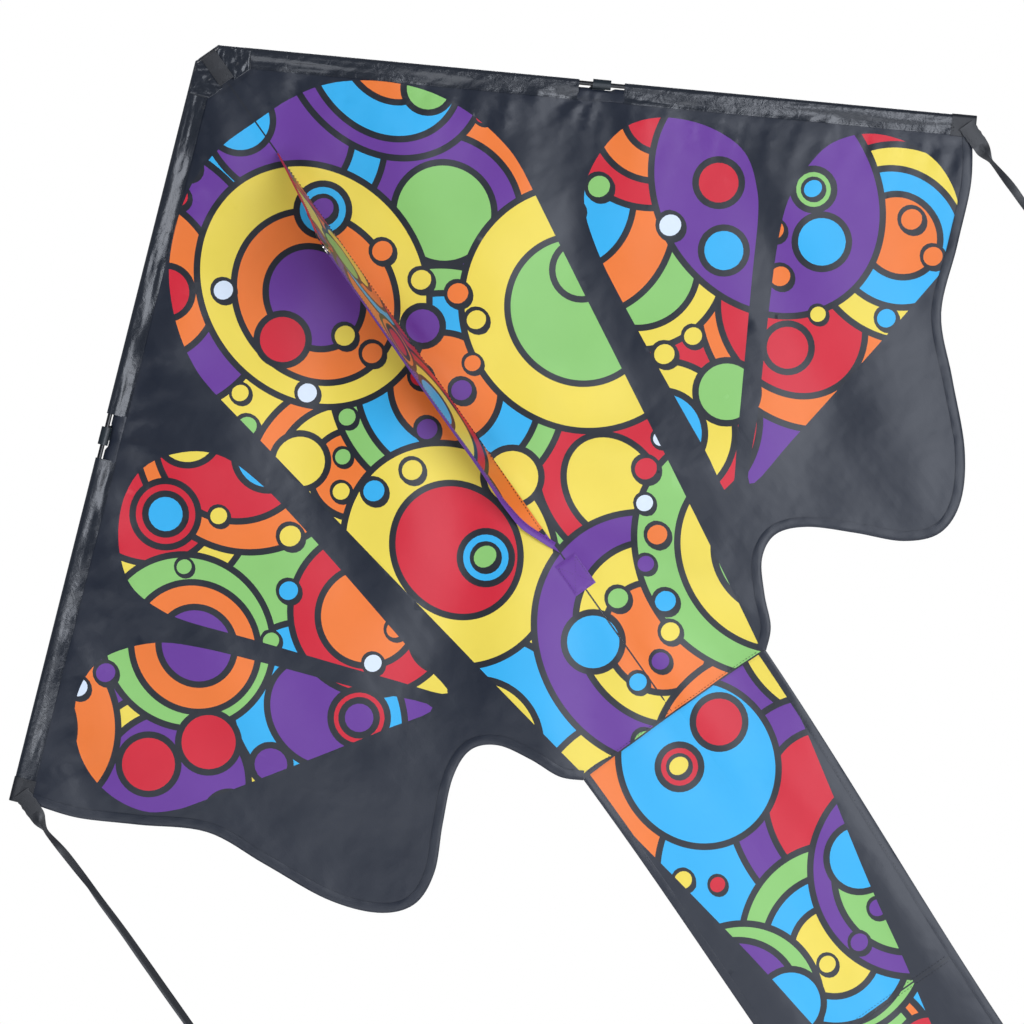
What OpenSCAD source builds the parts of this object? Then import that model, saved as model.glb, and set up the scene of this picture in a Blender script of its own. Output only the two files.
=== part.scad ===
// Delta kite with a keel, a scalloped trailing edge, a wide tail and two wing-tip streamers.
// Frame: nose at the origin, +Z towards the nose, the keel side faces -Y, wings spread along X.
// Lengths are in millimetres. Left-hand parts are mirror images of right-hand ones.

/* [Sail] */
// Half of the wing span
half_span = 585; // [540:5:640]
// Drop from the nose to the wing tips
tip_drop = 490; // [450:5:530]
// Length of the body from the nose to the tail seam
body_len = 798; // [796:1:802]
// Half width of the blunt nose
nose_half = 14; // [12:1:18]
// Thickness of the sail cloth as a solid
cloth_t = 1; // [0.8:0.1:1.2]
// Width of the hem along the trailing edge
hem_w = 9; // [7:1:11]

/* [Frame] */
// Diameter of the leading edge spars
spar_d = 4.5; // [4:0.1:4.6]
// Diameter of the spine
spine_d = 5; // [4:0.1:5.2]
// Length of the spine
spine_len = 630; // [600:5:640]
// Diameter of the spreader
spreader_d = 5; // [4:0.1:5]
// Distance of the spreader behind the sail
spreader_y = 12; // [12:0.5:14]
// Half length of the spreader
spreader_half = 296; // [290:1:298]
// Width of the leading edge sleeves
sleeve_w = 20; // [18:1:22]
// Length of the bare spar at the spreader fitting
cutout_len = 45; // [40:1:60]

/* [Keel] */
// Depth of the keel at the tow point
keel_depth = 160; // [120:5:180]
// Lean of the keel to the left at rest
keel_lean = 6; // [0:1:12]
// Radius of the hole in the tow eyelet
eyelet_r = 3; // [2.5:0.1:3.5]

/* [Tail and streamers] */
// Overall length from the nose to the end of the tail
overall_len = 2286; // [2000:10:2400]
// Half width of the tail at the seam
tail_half = 110; // [100:1:110]
// Half width of the tail at its end
tail_end_half = 76; // [60:1:90]
// Width of the streamers
streamer_w = 16; // [14:1:20]
// Length of the streamers
streamer_len = 880; // [700:10:900]

/* [Hidden] */
$fn = 48;

// Angle between the spine and a leading edge, and the leading edge's length
sweep = atan2(half_span - nose_half, tip_drop);
edge_len = norm([half_span - nose_half, tip_drop]);
// Colours of the cloth, the rods and the small parts
cloth_black = [0.14, 0.15, 0.18];
rod_black = [0.05, 0.05, 0.06];
print_yellow = [0.90, 0.80, 0.30];
print_blue = [0.20, 0.65, 0.90];
print_green = [0.50, 0.75, 0.40];
metal = [0.75, 0.76, 0.78];
vinyl = [0.08, 0.08, 0.09];

// Leading edge sleeve: a flat fabric tube with the spar in its outer fold
sleeve_t = 7;
sleeve_wall = 0.6;
spar_inset = sleeve_t / 2;
pocket_t = 8.8;
spar_start = 8;
spar_end = edge_len - 10;
push_fit = 0.02;
nose_s = 34;
fitting_s = 381;
cutout_s = fitting_s - cutout_len / 2;
tab_wall = 1;
tab_gap = 0.1;

// Each wing folds back on a line this far from the spine seam
fold_x = 7;
strip_gap = 0.3;
sail_gap = 0.8;
sail_start = fold_x + sail_gap;

// Spine behind the seam
spine_y = 4.3;
spine_top = -10;
spine_sleeve_r = 3.3;
spine_sleeve_bore = 2.7;

// Keel: hinge line in front of the seam, and its outline as [depth, height]
keel_hinge_y = -1.6;
keel_t = 0.8;
keel_top = -120;
keel_apex = -236;
keel_foot = -605;
eyelet_inset = 12;
eyelet_wall = 0.7;
eyelet_z = keel_apex - 2;

// Tail: seam overlap, and the heights of its two fold lines
tail_y = 1;
tail_t = 0.8;
tail_gap = 1.8;
tail_top = -body_len + 10;
fold_1 = -1080;
fold_2 = -1580;
fold_gap = 3;
tail_hem_h = 16;

// Trailing edge of the right wing from the tip to the tail, [x, z]
sail_depth = sleeve_w + 0.3;
trailing_points = [
  edge_point(edge_len - 3, sail_depth), [540, -542], [495, -582], [443, -627], [415, -685], [385, -748], [352, -788],
  [318, -802], [284, -788], [250, -754], [215, -722], [185, -710], [160, -722], [142, -752],
  [129, -782], [112, -body_len]
];

// Catmull-Rom curve through a list of points, with steps pieces in each span
function spline_point(a, b, c, d, t) =
  0.5 * (2 * b + (c - a) * t + (2 * a - 5 * b + 4 * c - d) * t * t + (3 * b - a - 3 * c + d) * t * t * t);
function spline(p, steps) = let (last = len(p) - 1) concat(
  [for (i = [0:last - 1], k = [0:steps - 1])
    spline_point(p[max(i - 1, 0)], p[i], p[i + 1], p[min(i + 2, last)], k / steps)],
  [p[last]]
);
// The same curve moved to its right-hand side by a distance
function side_step(p, i) = let (
  a = p[max(i - 1, 0)], b = p[min(i + 1, len(p) - 1)], d = (b - a) / norm(b - a)
) [d.y, -d.x];
function offset_curve(p, distance) = [for (i = [0:len(p) - 1]) p[i] + distance * side_step(p, i)];
function reversed(p) = [for (i = [len(p) - 1:-1:0]) p[i]];

trailing_curve = spline(trailing_points, 4);

// Places children with their own Z along the right leading edge and their own X into the sail
module on_edge(s = 0) {
  translate([nose_half, 0, 0]) rotate([0, 180 - sweep, 0]) translate([0, 0, s]) children();
}

// A plate from an outline in X and Z, between two depths
module plate(points, y0, y1) {
  translate([0, y1, 0]) rotate([90, 0, 0]) linear_extrude(y1 - y0) polygon(points);
}

// A rectangle with round ends, from x0 to x1 and t thick
module stadium(x0, x1, t) {
  translate([x0 + t / 2, 0]) circle(d = t);
  translate([x1 - t / 2, 0]) circle(d = t);
  translate([x0 + t / 2, -t / 2]) square([x1 - x0 - t, t]);
}

// Point at a distance along the leading edge and a depth into the sail, [x, z]
function edge_point(s, depth) = [
  nose_half + s * sin(sweep) - depth * cos(sweep),
  -s * cos(sweep) - depth * sin(sweep)
];

// ---- sail and its edges ----
module sail() {
  inner = edge_point(nose_s, sail_depth);
  color(cloth_black) plate(concat(
    [[sail_start, -body_len], [sail_start, inner.y], inner],
    trailing_curve
  ), -cloth_t / 2, cloth_t / 2);
}

// The cloth between the two fold lines, from the nose cap to the tail seam
module spine_strip() {
  color(cloth_black) translate([-fold_x + strip_gap, -cloth_t / 2, -body_len])
    cube([2 * (fold_x - strip_gap), cloth_t, body_len + edge_point(nose_s, sleeve_w).y]);
}

module trailing_hem() {
  hem_t = 0.7;
  curve = [for (i = [0:len(trailing_curve) - 3]) trailing_curve[i]];
  color(cloth_black) plate(concat(
    curve, reversed(offset_curve(curve, hem_w))
  ), cloth_t / 2, cloth_t / 2 + hem_t);
}

// A flat pocket round the top of the spar, with a flap on the front that meets the nose cap
module nose_pocket() {
  wall = 0.8;
  tube_start = 16;
  flap_start = 8.4;
  slack = 1.6;
  low = edge_point(nose_s, 0);
  inner = edge_point(nose_s, sleeve_w);
  top = edge_point((tube_start - nose_half) / sin(sweep), 0);
  color(cloth_black) {
    difference() {
      plate([top, low, inner, [tube_start, inner.y]], -pocket_t / 2, pocket_t / 2);
      plate([
        [tube_start - 1, top.y - slack], [tube_start, top.y - slack], edge_point(nose_s + 1, 1.1),
        edge_point(nose_s + 1, sleeve_w + 2), [tube_start - 1, inner.y - 2]
      ], -pocket_t / 2 + wall, pocket_t / 2 - wall);
    }
    plate([[flap_start, 0], [nose_half, 0], top, [tube_start, inner.y], [flap_start, inner.y]],
      -pocket_t / 2, -pocket_t / 2 + wall);
  }
}

// A folded tape over the top of the spine, open at the bottom
module nose_cap() {
  cap_half = 5.4;
  cap_h = 34;
  wall = 0.9;
  front = -2;
  back = 8.8;
  color(cloth_black) difference() {
    translate([-cap_half, front, -cap_h]) cube([2 * cap_half, back - front, cap_h]);
    translate([-cap_half - 1, front + wall, -cap_h - 1])
      cube([2 * cap_half + 2, back - front - 2 * wall, cap_h + 1 - wall]);
  }
}

module sleeve_length(s0, s1) {
  color(cloth_black) on_edge(s0) linear_extrude(s1 - s0) difference() {
    stadium(0, sleeve_w, sleeve_t);
    stadium(sleeve_wall, sleeve_w - sleeve_wall, sleeve_t - 2 * sleeve_wall);
  }
}

module cutout_binding() {
  binding_w = 8;
  binding_t = 2.4;
  color(cloth_black) on_edge(cutout_s + 0.5)
    translate([sleeve_w - binding_w, -binding_t / 2, 0]) cube([binding_w, binding_t, cutout_len - 1]);
}

// A folded tape over the end of the sleeve, closed at the tip so that the spar can't slide out
module tip_tab() {
  tab_len = 24;
  slot_t = 3;
  color(cloth_black) on_edge(edge_len - tab_len) difference() {
    linear_extrude(tab_len + 0.6)
      stadium(-tab_wall - tab_gap, sleeve_w + tab_wall + tab_gap, sleeve_t + 2 * (tab_wall + tab_gap));
    translate([0, 0, -1]) linear_extrude(tab_len) stadium(-tab_gap, sleeve_w + tab_gap, sleeve_t + 2 * tab_gap);
    translate([sleeve_w - 2, -slot_t / 2, -1]) cube([6, slot_t, tab_len - 1]);
  }
}

// ---- spars and fittings ----
module leading_spar() {
  color(rod_black) on_edge(spar_start) translate([spar_inset, 0, 0])
    cylinder(d = spar_d, h = spar_end - spar_start);
}

module spar_end_cap() {
  cap_len = 12;
  cap_wall = 0.5;
  cap_end = 2;
  color(vinyl) on_edge(spar_end - cap_len + cap_end) translate([spar_inset, 0, 0]) difference() {
    cylinder(r = spar_d / 2 + cap_wall, h = cap_len);
    translate([0, 0, -cap_end]) cylinder(r = spar_d / 2 + push_fit, h = cap_len);
  }
}

// A barrel on the spar, and an arm behind the sail with a cradle open to the back
module spreader_fitting() {
  barrel_len = 18;
  barrel_r = 5;
  cradle_len = 26;
  cradle_w = 11;
  cradle_wall = 1.8;
  end_wall = 4;
  end_gap = 2.5;
  lip = 2;
  slot_w = spreader_d + 1.8;
  arm_y = 1.7;
  arm_w = 11;
  centre = edge_point(fitting_s, spar_inset);
  floor_y = spreader_y - spreader_d / 2 - 0.7;
  color(vinyl) difference() {
    union() {
      on_edge(fitting_s - barrel_len / 2) translate([spar_inset, 0, 0]) cylinder(r = barrel_r, h = barrel_len);
      translate([spreader_half - cradle_len + end_wall, floor_y - cradle_wall, centre.y - cradle_w / 2])
        cube([cradle_len, spreader_y + lip - floor_y + cradle_wall, cradle_w]);
      translate([centre.x - arm_w + 1, arm_y, centre.y - cradle_w / 2]) cube([arm_w, floor_y - arm_y, cradle_w]);
    }
    on_edge(fitting_s - barrel_len) translate([spar_inset, 0, 0])
      cylinder(r = spar_d / 2 + 0.05, h = 2 * barrel_len);
    translate([spreader_half - cradle_len, floor_y, centre.y - slot_w / 2])
      cube([cradle_len + end_gap, spreader_y, slot_w]);
  }
}

// The rod stops at the closed ends of its two caps
module spreader_rod() {
  cap_end = 2;
  centre = edge_point(fitting_s, spar_inset);
  color(rod_black) translate([-spreader_half + cap_end, spreader_y, centre.y]) rotate([0, 90, 0])
    cylinder(d = spreader_d, h = 2 * (spreader_half - cap_end));
}

module spreader_cap() {
  cap_len = 14;
  cap_wall = 0.6;
  cap_end = 2;
  centre = edge_point(fitting_s, spar_inset);
  color(vinyl) translate([spreader_half - cap_len, spreader_y, centre.y]) rotate([0, 90, 0]) difference() {
    cylinder(r = spreader_d / 2 + cap_wall, h = cap_len);
    translate([0, 0, -cap_end]) cylinder(r = spreader_d / 2 + push_fit, h = cap_len);
  }
}

// ---- spine ----
module spine_rod() {
  color(rod_black) translate([0, spine_y, spine_top - spine_len]) cylinder(d = spine_d, h = spine_len);
}

// A tube of cloth round the spine, with a web that joins it to the sail
module spine_sleeve() {
  bare_top = 4;
  bare_foot = 8;
  web_t = 1.4;
  web_h = 1.5;
  sleeve_len = spine_len - bare_top - bare_foot;
  color(cloth_black) translate([0, 0, spine_top - bare_top - sleeve_len]) difference() {
    union() {
      translate([0, spine_y, 0]) cylinder(r = spine_sleeve_r, h = sleeve_len);
      translate([-web_t / 2, cloth_t / 2, 0]) cube([web_t, web_h, sleeve_len]);
    }
    translate([0, spine_y, -1]) cylinder(r = spine_sleeve_bore, h = sleeve_len + 2);
  }
}

module spine_end_cap() {
  cap_len = 10;
  cap_wall = 0.9;
  cap_end = 2;
  color(vinyl) translate([0, spine_y, spine_top - spine_len - cap_end]) difference() {
    cylinder(r = spine_d / 2 + cap_wall, h = cap_len);
    translate([0, 0, cap_end]) cylinder(r = spine_d / 2 + push_fit, h = cap_len);
  }
}

// A square of cloth over the foot of the spine's pocket
module spine_pocket_patch() {
  patch_h = 36;
  patch_t = 0.8;
  patch_foot = spine_top - spine_len - 8;
  color(print_blue) translate([-fold_x + strip_gap, -cloth_t / 2 - patch_t, patch_foot])
    cube([2 * (fold_x - strip_gap), patch_t, patch_h]);
}

// ---- keel ----
keel_outline = [[0.4, keel_foot], [0.4, keel_top], [keel_depth - 4, keel_apex + 3], [keel_depth, keel_apex - 6]];

// Places children with their own X along the keel's depth and their own Y across its cloth
module on_keel() {
  translate([0, keel_hinge_y, 0]) rotate([0, 0, -90 - keel_lean]) children();
}

module keel_panel() {
  color(print_yellow) on_keel() difference() {
    plate(keel_outline, -keel_t / 2, keel_t / 2);
    translate([keel_depth - eyelet_inset, 5, eyelet_z]) rotate([90, 0, 0])
      cylinder(r = eyelet_r + eyelet_wall + 0.05, h = 10);
  }
}

module keel_edge_tape() {
  tape_w = 7;
  tape_t = 0.5;
  foot = keel_outline[0];
  apex = keel_outline[3];
  along = (apex - foot) / norm(apex - foot);
  inward = [-along.y, along.x];
  bare_foot = 30;
  bare_apex = 16;
  start = foot + along * bare_foot;
  end = apex - along * bare_apex;
  color(cloth_black) on_keel() for (side = [-1, 1])
    plate([start, end, end + inward * tape_w, start + inward * tape_w],
      side > 0 ? keel_t / 2 : -keel_t / 2 - tape_t, side > 0 ? keel_t / 2 + tape_t : -keel_t / 2);
}

// Reinforcing patches on both faces of the keel at the tow point
module tow_patch() {
  patch_t = 0.4;
  patch_r = 11;
  patch_depth = keel_depth - eyelet_inset - 9;
  patch_z = eyelet_z + 8;
  color(cloth_black) on_keel() for (y = [-keel_t / 2 - patch_t, keel_t / 2]) difference() {
    translate([patch_depth, y + patch_t, patch_z]) rotate([90, 0, 0]) cylinder(r = patch_r, h = patch_t);
    translate([keel_depth - eyelet_inset, 5, eyelet_z]) rotate([90, 0, 0])
      cylinder(r = eyelet_r + 3.3, h = 10);
  }
}

module tow_eyelet() {
  flange_r = 6;
  flange_t = 0.8;
  color(metal) on_keel() translate([keel_depth - eyelet_inset, 0, eyelet_z]) rotate([90, 0, 0])
    difference() {
      union() {
        translate([0, 0, -keel_t / 2 - flange_t]) cylinder(r = eyelet_r + eyelet_wall, h = keel_t + 2 * flange_t);
        for (z = [-keel_t / 2 - flange_t, keel_t / 2]) translate([0, 0, z]) cylinder(r = flange_r, h = flange_t);
      }
      translate([0, 0, -5]) cylinder(r = eyelet_r, h = 10);
    }
}

// ---- tail ----
function tail_half_at(z) =
  tail_half + (tail_end_half - tail_half) * (tail_top - z) / (tail_top + overall_len);

module tail_piece(z0, z1, x0, t = tail_t) {
  plate([
    [x0 < 0 ? -tail_half_at(z0) : x0, z0], [tail_half_at(z0), z0],
    [tail_half_at(z1), z1], [x0 < 0 ? -tail_half_at(z1) : x0, z1]
  ], tail_y - t / 2, tail_y + t / 2);
}

module tail_top_half() {
  color(print_blue) tail_piece(tail_top, fold_1, fold_x + tail_gap);
}

module tail_top_strip() {
  half_w = fold_x - 1;
  color(print_blue) translate([-half_w, tail_y - tail_t / 2, fold_1])
    cube([2 * half_w, tail_t, tail_top - fold_1]);
}

module tail_middle() {
  color(print_green) tail_piece(fold_1 - fold_gap, fold_2, -1);
}

module tail_end() {
  color(cloth_black) tail_piece(fold_2 - fold_gap, -overall_len + tail_hem_h, -1);
}

module tail_end_hem() {
  color(cloth_black) tail_piece(-overall_len + tail_hem_h, -overall_len, -1, 1.8);
}

// ---- streamers ----
streamer_x = half_span - 8;
streamer_top = -514;
streamer_t = 0.8;
loop_t = 1;
loop_y = -sleeve_t / 2 - tab_wall - tab_gap - loop_t / 2;

module streamer_loop() {
  loop_top = edge_point(edge_len - 4, sleeve_w - 5).y;
  color(cloth_black) translate([streamer_x - streamer_w / 2, loop_y - loop_t / 2, streamer_top + 1])
    cube([streamer_w, loop_t, loop_top - streamer_top + 6]);
}

module streamer() {
  color(cloth_black) translate([streamer_x - streamer_w / 2, loop_y - streamer_t / 2, streamer_top - streamer_len])
    cube([streamer_w, streamer_t, streamer_len - 1]);
}

module left() { mirror([1, 0, 0]) children(); }

spine_rod();
spine_sleeve();
spine_strip();
spine_end_cap();
spine_pocket_patch();
nose_cap();
keel_panel();
keel_edge_tape();
tow_patch();
tow_eyelet();
left() sail();  // left_sail
left() trailing_hem();  // left_trailing_hem
left() nose_pocket();  // left_nose_pocket
left() sleeve_length(nose_s, cutout_s);  // left_upper_sleeve
left() sleeve_length(cutout_s + cutout_len, edge_len - 2);  // left_lower_sleeve
left() cutout_binding();  // left_cutout_binding
left() leading_spar();  // left_leading_spar
left() spar_end_cap();  // left_spar_end_cap
left() spreader_fitting();  // left_spreader_fitting
left() tip_tab();  // left_tip_tab
left() streamer_loop();  // left_streamer_loop
left() tail_top_half();  // left_tail_top
sail();  // right_sail
trailing_hem();  // right_trailing_hem
nose_pocket();  // right_nose_pocket
sleeve_length(nose_s, cutout_s);  // right_upper_sleeve
sleeve_length(cutout_s + cutout_len, edge_len - 2);  // right_lower_sleeve
cutout_binding();  // right_cutout_binding
leading_spar();  // right_leading_spar
spar_end_cap();  // right_spar_end_cap
spreader_fitting();  // right_spreader_fitting
tip_tab();  // right_tip_tab
streamer_loop();  // right_streamer_loop
tail_top_half();  // right_tail_top
left() streamer();  // left_streamer
streamer();  // right_streamer
spreader_rod();
left() spreader_cap();  // left_spreader_cap
spreader_cap();  // right_spreader_cap
tail_top_strip();
tail_middle();
tail_end();
tail_end_hem();
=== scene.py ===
import math
import random

import bmesh
import bpy
import numpy as np
from mathutils import Matrix, Vector, noise
from mathutils.bvhtree import BVHTree
from mathutils.geometry import barycentric_transform, delaunay_2d_cdt


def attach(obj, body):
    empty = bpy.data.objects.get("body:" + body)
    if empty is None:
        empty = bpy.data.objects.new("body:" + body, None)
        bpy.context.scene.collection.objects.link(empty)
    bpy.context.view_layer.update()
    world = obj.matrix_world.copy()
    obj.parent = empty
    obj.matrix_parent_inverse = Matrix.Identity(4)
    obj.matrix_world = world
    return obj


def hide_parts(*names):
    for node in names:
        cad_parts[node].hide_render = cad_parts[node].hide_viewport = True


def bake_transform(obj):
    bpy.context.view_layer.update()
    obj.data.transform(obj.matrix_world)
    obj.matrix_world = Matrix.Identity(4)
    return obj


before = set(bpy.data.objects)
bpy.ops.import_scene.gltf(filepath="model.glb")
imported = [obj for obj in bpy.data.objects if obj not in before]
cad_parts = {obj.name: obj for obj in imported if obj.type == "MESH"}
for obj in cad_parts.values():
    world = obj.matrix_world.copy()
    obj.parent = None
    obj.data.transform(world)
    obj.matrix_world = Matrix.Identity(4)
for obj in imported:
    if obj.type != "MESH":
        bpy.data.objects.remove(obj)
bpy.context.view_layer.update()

# ---- Camera ----
# A long lens looks straight at the keel side. It is rolled, so that the kite lies
# with its nose at the upper left and its spine running down to the right.
MM = 0.001
view_centre = Vector((-15.5, 0, -544.4)) * MM
view_distance = 4.0
spine_slope = math.radians(54.75)
across = Vector((math.sin(spine_slope), 0, -math.cos(spine_slope)))
upward = Vector((math.cos(spine_slope), 0, math.sin(spine_slope)))
camera_data = bpy.data.cameras.new("camera")
camera_data.lens = 142.3
camera_data.clip_end = 50
camera = bpy.data.objects.new("camera", camera_data)
bpy.context.scene.collection.objects.link(camera)
turn = Matrix((across, upward, Vector((0, -1, 0)))).transposed().to_4x4()
camera.matrix_world = Matrix.Translation(view_centre + Vector((0, -view_distance, 0))) @ turn
bpy.context.scene.camera = camera

# ---- Sail cloth ----
# The sail is ripstop polyester, woven, calendered smooth, and dyed or printed. Its flattened
# threads give a soft, wide sheen, and the square ripstop grid shows as a faint relief.


def linear(hex_colour):
    parts = [int(hex_colour[i:i + 2], 16) / 255 for i in (1, 3, 5)]
    return [p / 12.92 if p <= 0.04045 else ((p + 0.055) / 1.055) ** 2.4 for p in parts] + [1]


def add_node(material, kind, inputs, **settings):
    node = material.node_tree.nodes.new(kind)
    for name, value in settings.items():
        setattr(node, name, value)
    for socket, value in inputs.items():
        if isinstance(value, bpy.types.NodeSocket):
            material.node_tree.links.new(value, node.inputs[socket])
        else:
            node.inputs[socket].default_value = value
    return node


def new_material(name, roughness, ior=1.5, metallic=0.0):
    """A material, its shader and the place on the object that its patterns are drawn from."""
    material = bpy.data.materials.new(name)
    material.use_nodes = True
    shader = material.node_tree.nodes["Principled BSDF"]
    shader.inputs["Roughness"].default_value = roughness
    shader.inputs["IOR"].default_value = ior
    shader.inputs["Metallic"].default_value = metallic
    return material, shader, add_node(material, "ShaderNodeTexCoord", {}).outputs["Object"]


def uneven(material, shader, place, hex_colour, change, scale):
    """Colours the surface, a little darker in soft blotches; scale is how many of them to the metre."""
    blotch = add_node(material, "ShaderNodeTexNoise", {"Vector": place, "Scale": scale, "Detail": 3.0})
    colour = linear(hex_colour)
    darker = [c * (1 - 2 * change) for c in colour[:3]] + [1]
    inputs = {"Factor": blotch.outputs["Fac"], "A": colour, "B": darker}
    mixed = add_node(material, "ShaderNodeMix", inputs, data_type="RGBA")
    material.node_tree.links.new(mixed.outputs["Result"], shader.inputs["Base Color"])


def raised(material, shader, steps):
    """Stacks reliefs on the surface, each a (height socket, depth in mm, strength)."""
    normal = None
    for height, depth, strength in steps:
        inputs = {"Height": height, "Distance": depth * MM, "Strength": strength}
        if normal is not None:
            inputs["Normal"] = normal
        normal = add_node(material, "ShaderNodeBump", inputs).outputs["Normal"]
    material.node_tree.links.new(normal, shader.inputs["Normal"])


def wave_scale(pitch):
    """A wave texture's scale for a pitch in mm: it draws 20 x scale radians to the metre."""
    return 2 * math.pi / (20 * pitch * MM)


def woven(name, hex_colour, roughness, sheen, crease):
    """Ripstop cloth of one dye; crease is the height of its fine crumpling in mm."""
    material, shader, place = new_material(name, roughness, 1.53)
    uneven(material, shader, place, hex_colour, 0.06, 14.0)
    # the heavier threads of the ripstop grid lie 5 mm apart
    bands = [
        add_node(
            material, "ShaderNodeTexWave", {"Vector": place, "Scale": wave_scale(5)},
            bands_direction=axis, wave_profile="SIN",
        ).outputs["Fac"]
        for axis in "XZ"
    ]
    grid = add_node(material, "ShaderNodeMath", {0: bands[0], 1: bands[1]}, operation="MAXIMUM")
    thread = add_node(material, "ShaderNodeMath", {0: grid.outputs[0], 1: 8.0}, operation="POWER")
    # soft crumples, about 30 mm across
    crumple = add_node(
        material, "ShaderNodeTexNoise", {"Vector": place, "Scale": 30.0, "Detail": 2.0, "Roughness": 0.4}
    )
    reliefs = [(crumple.outputs["Fac"], 2.4 * crease, 0.7), (thread.outputs[0], 0.04, 0.3)]
    raised(material, shader, reliefs)
    # the gaps between the threads swallow part of the reflection
    shader.inputs["Specular IOR Level"].default_value = 0.38
    shader.inputs["Sheen Weight"].default_value = sheen
    shader.inputs["Sheen Roughness"].default_value = 0.4
    return material


CLOTH = {
    "black": woven("black_ripstop", "#131a27", 0.4, 0.03, 0.9),
    # the print's outline colour also darkens the seams and paints the shadow line along the sail's foot
    "line": woven("print_outline_seam_and_foot_shade", "#171b23", 0.42, 0.05, 0.5),
    "yellow": woven("print_yellow", "#e6cf4c", 0.5, 0.06, 0.3),
    "orange": woven("print_orange", "#e8752b", 0.5, 0.06, 0.3),
    "red": woven("print_red", "#c9142c", 0.5, 0.06, 0.3),
    "purple": woven("print_purple", "#62308e", 0.5, 0.06, 0.3),
    "blue": woven("print_blue", "#2ba9e0", 0.5, 0.06, 0.3),
    "green": woven("print_green", "#86bf68", 0.5, 0.06, 0.3),
    "white": woven("print_white", "#d3deea", 0.5, 0.06, 0.3),
}
COLOURS = list(CLOTH)

# ---- Sail ----
# Two mirror-image halves of cloth, sewn together along the spine. Each half has a large
# printed window beside the spine and two teardrop windows, set in black cloth.
# Distances here are in millimetres: u across from the spine, v down from the nose.
NOSE_HALF = 14
EDGE_ACROSS = 571
EDGE_DOWN = 490
EDGE_LEN = math.hypot(EDGE_ACROSS, EDGE_DOWN)
SAIL_TUCK = 9
BODY_END = 799
SLEEVE_W = 20.3


def edge_point(s, depth):
    """Point s along the right leading edge and depth into the sail."""
    along, inward = EDGE_ACROSS / EDGE_LEN, EDGE_DOWN / EDGE_LEN
    return (NOSE_HALF + s * along - depth * inward, s * inward + depth * along)


def along_edge(u, v):
    """(distance along the leading edge, depth into the sail) of a point."""
    along, inward = EDGE_ACROSS / EDGE_LEN, EDGE_DOWN / EDGE_LEN
    return (u - NOSE_HALF) * along + v * inward, v * along - (u - NOSE_HALF) * inward


def eased(x):
    """0 below 0, 1 above 1, and a smooth rise between them."""
    t = min(max(x, 0.0), 1.0)
    return t * t * (3 - 2 * t)


def spline(points, steps, closed=False):
    """Catmull-Rom curve through the points."""
    p = [np.array(q, float) for q in points]
    n = len(p)
    out = []
    for i in range(n if closed else n - 1):
        if closed:
            a, b, c, d = (p[(i + k) % n] for k in (-1, 0, 1, 2))
        else:
            a, b, c, d = (p[min(max(i + k, 0), n - 1)] for k in (-1, 0, 1, 2))
        for k in range(steps):
            t = k / steps
            bend = (2 * a - 5 * b + 4 * c - d) * t * t + (3 * b - a - 3 * c + d) * t ** 3
            out.append(0.5 * (2 * b + (c - a) * t + bend))
    if not closed:
        out.append(p[-1])
    return [tuple(q) for q in out]


# The scalloped trailing edge, from the wing tip to the tail
TRAILING = spline([
    edge_point(EDGE_LEN - 3, SLEEVE_W), (540, 542), (495, 582), (443, 627), (415, 685), (385, 748),
    (352, 788), (318, 802), (284, 788), (250, 754), (215, 722), (185, 710), (160, 722),
    (142, 752), (129, 782), (112, BODY_END),
], 8)


def inside(points, loop):
    """Which points lie inside a closed loop."""
    x, y = np.asarray(points, float).T
    hit = np.zeros(len(x), bool)
    ring = np.asarray(loop, float)
    for (x0, y0), (x1, y1) in zip(ring, np.roll(ring, -1, axis=0)):
        if y0 == y1:
            continue
        crosses = (y0 > y) != (y1 > y)
        hit ^= crosses & (x < (x1 - x0) * (y - y0) / (y1 - y0) + x0)
    return hit


def oval(u, v, ru, rv):
    count = max(18, int(2 * math.pi * max(ru, rv) / 5))
    turns = [2 * math.pi * k / count for k in range(count)]
    return [(u + ru * math.cos(t), v + rv * math.sin(t)) for t in turns]


def densify(loop, step, closed=True):
    """The same path with points no further apart than about a step."""
    out = []
    pairs = list(zip(loop, loop[1:] + loop[:1])) if closed else list(zip(loop, loop[1:]))
    for a, b in pairs:
        n = max(1, int(math.hypot(b[0] - a[0], b[1] - a[1]) / step))
        out += [(a[0] + (b[0] - a[0]) * k / n, a[1] + (b[1] - a[1]) * k / n) for k in range(n)]
    return out if closed else out + [loop[-1]]


PRINT_HUES = ("yellow", "orange", "red", "purple", "blue", "green")


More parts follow.
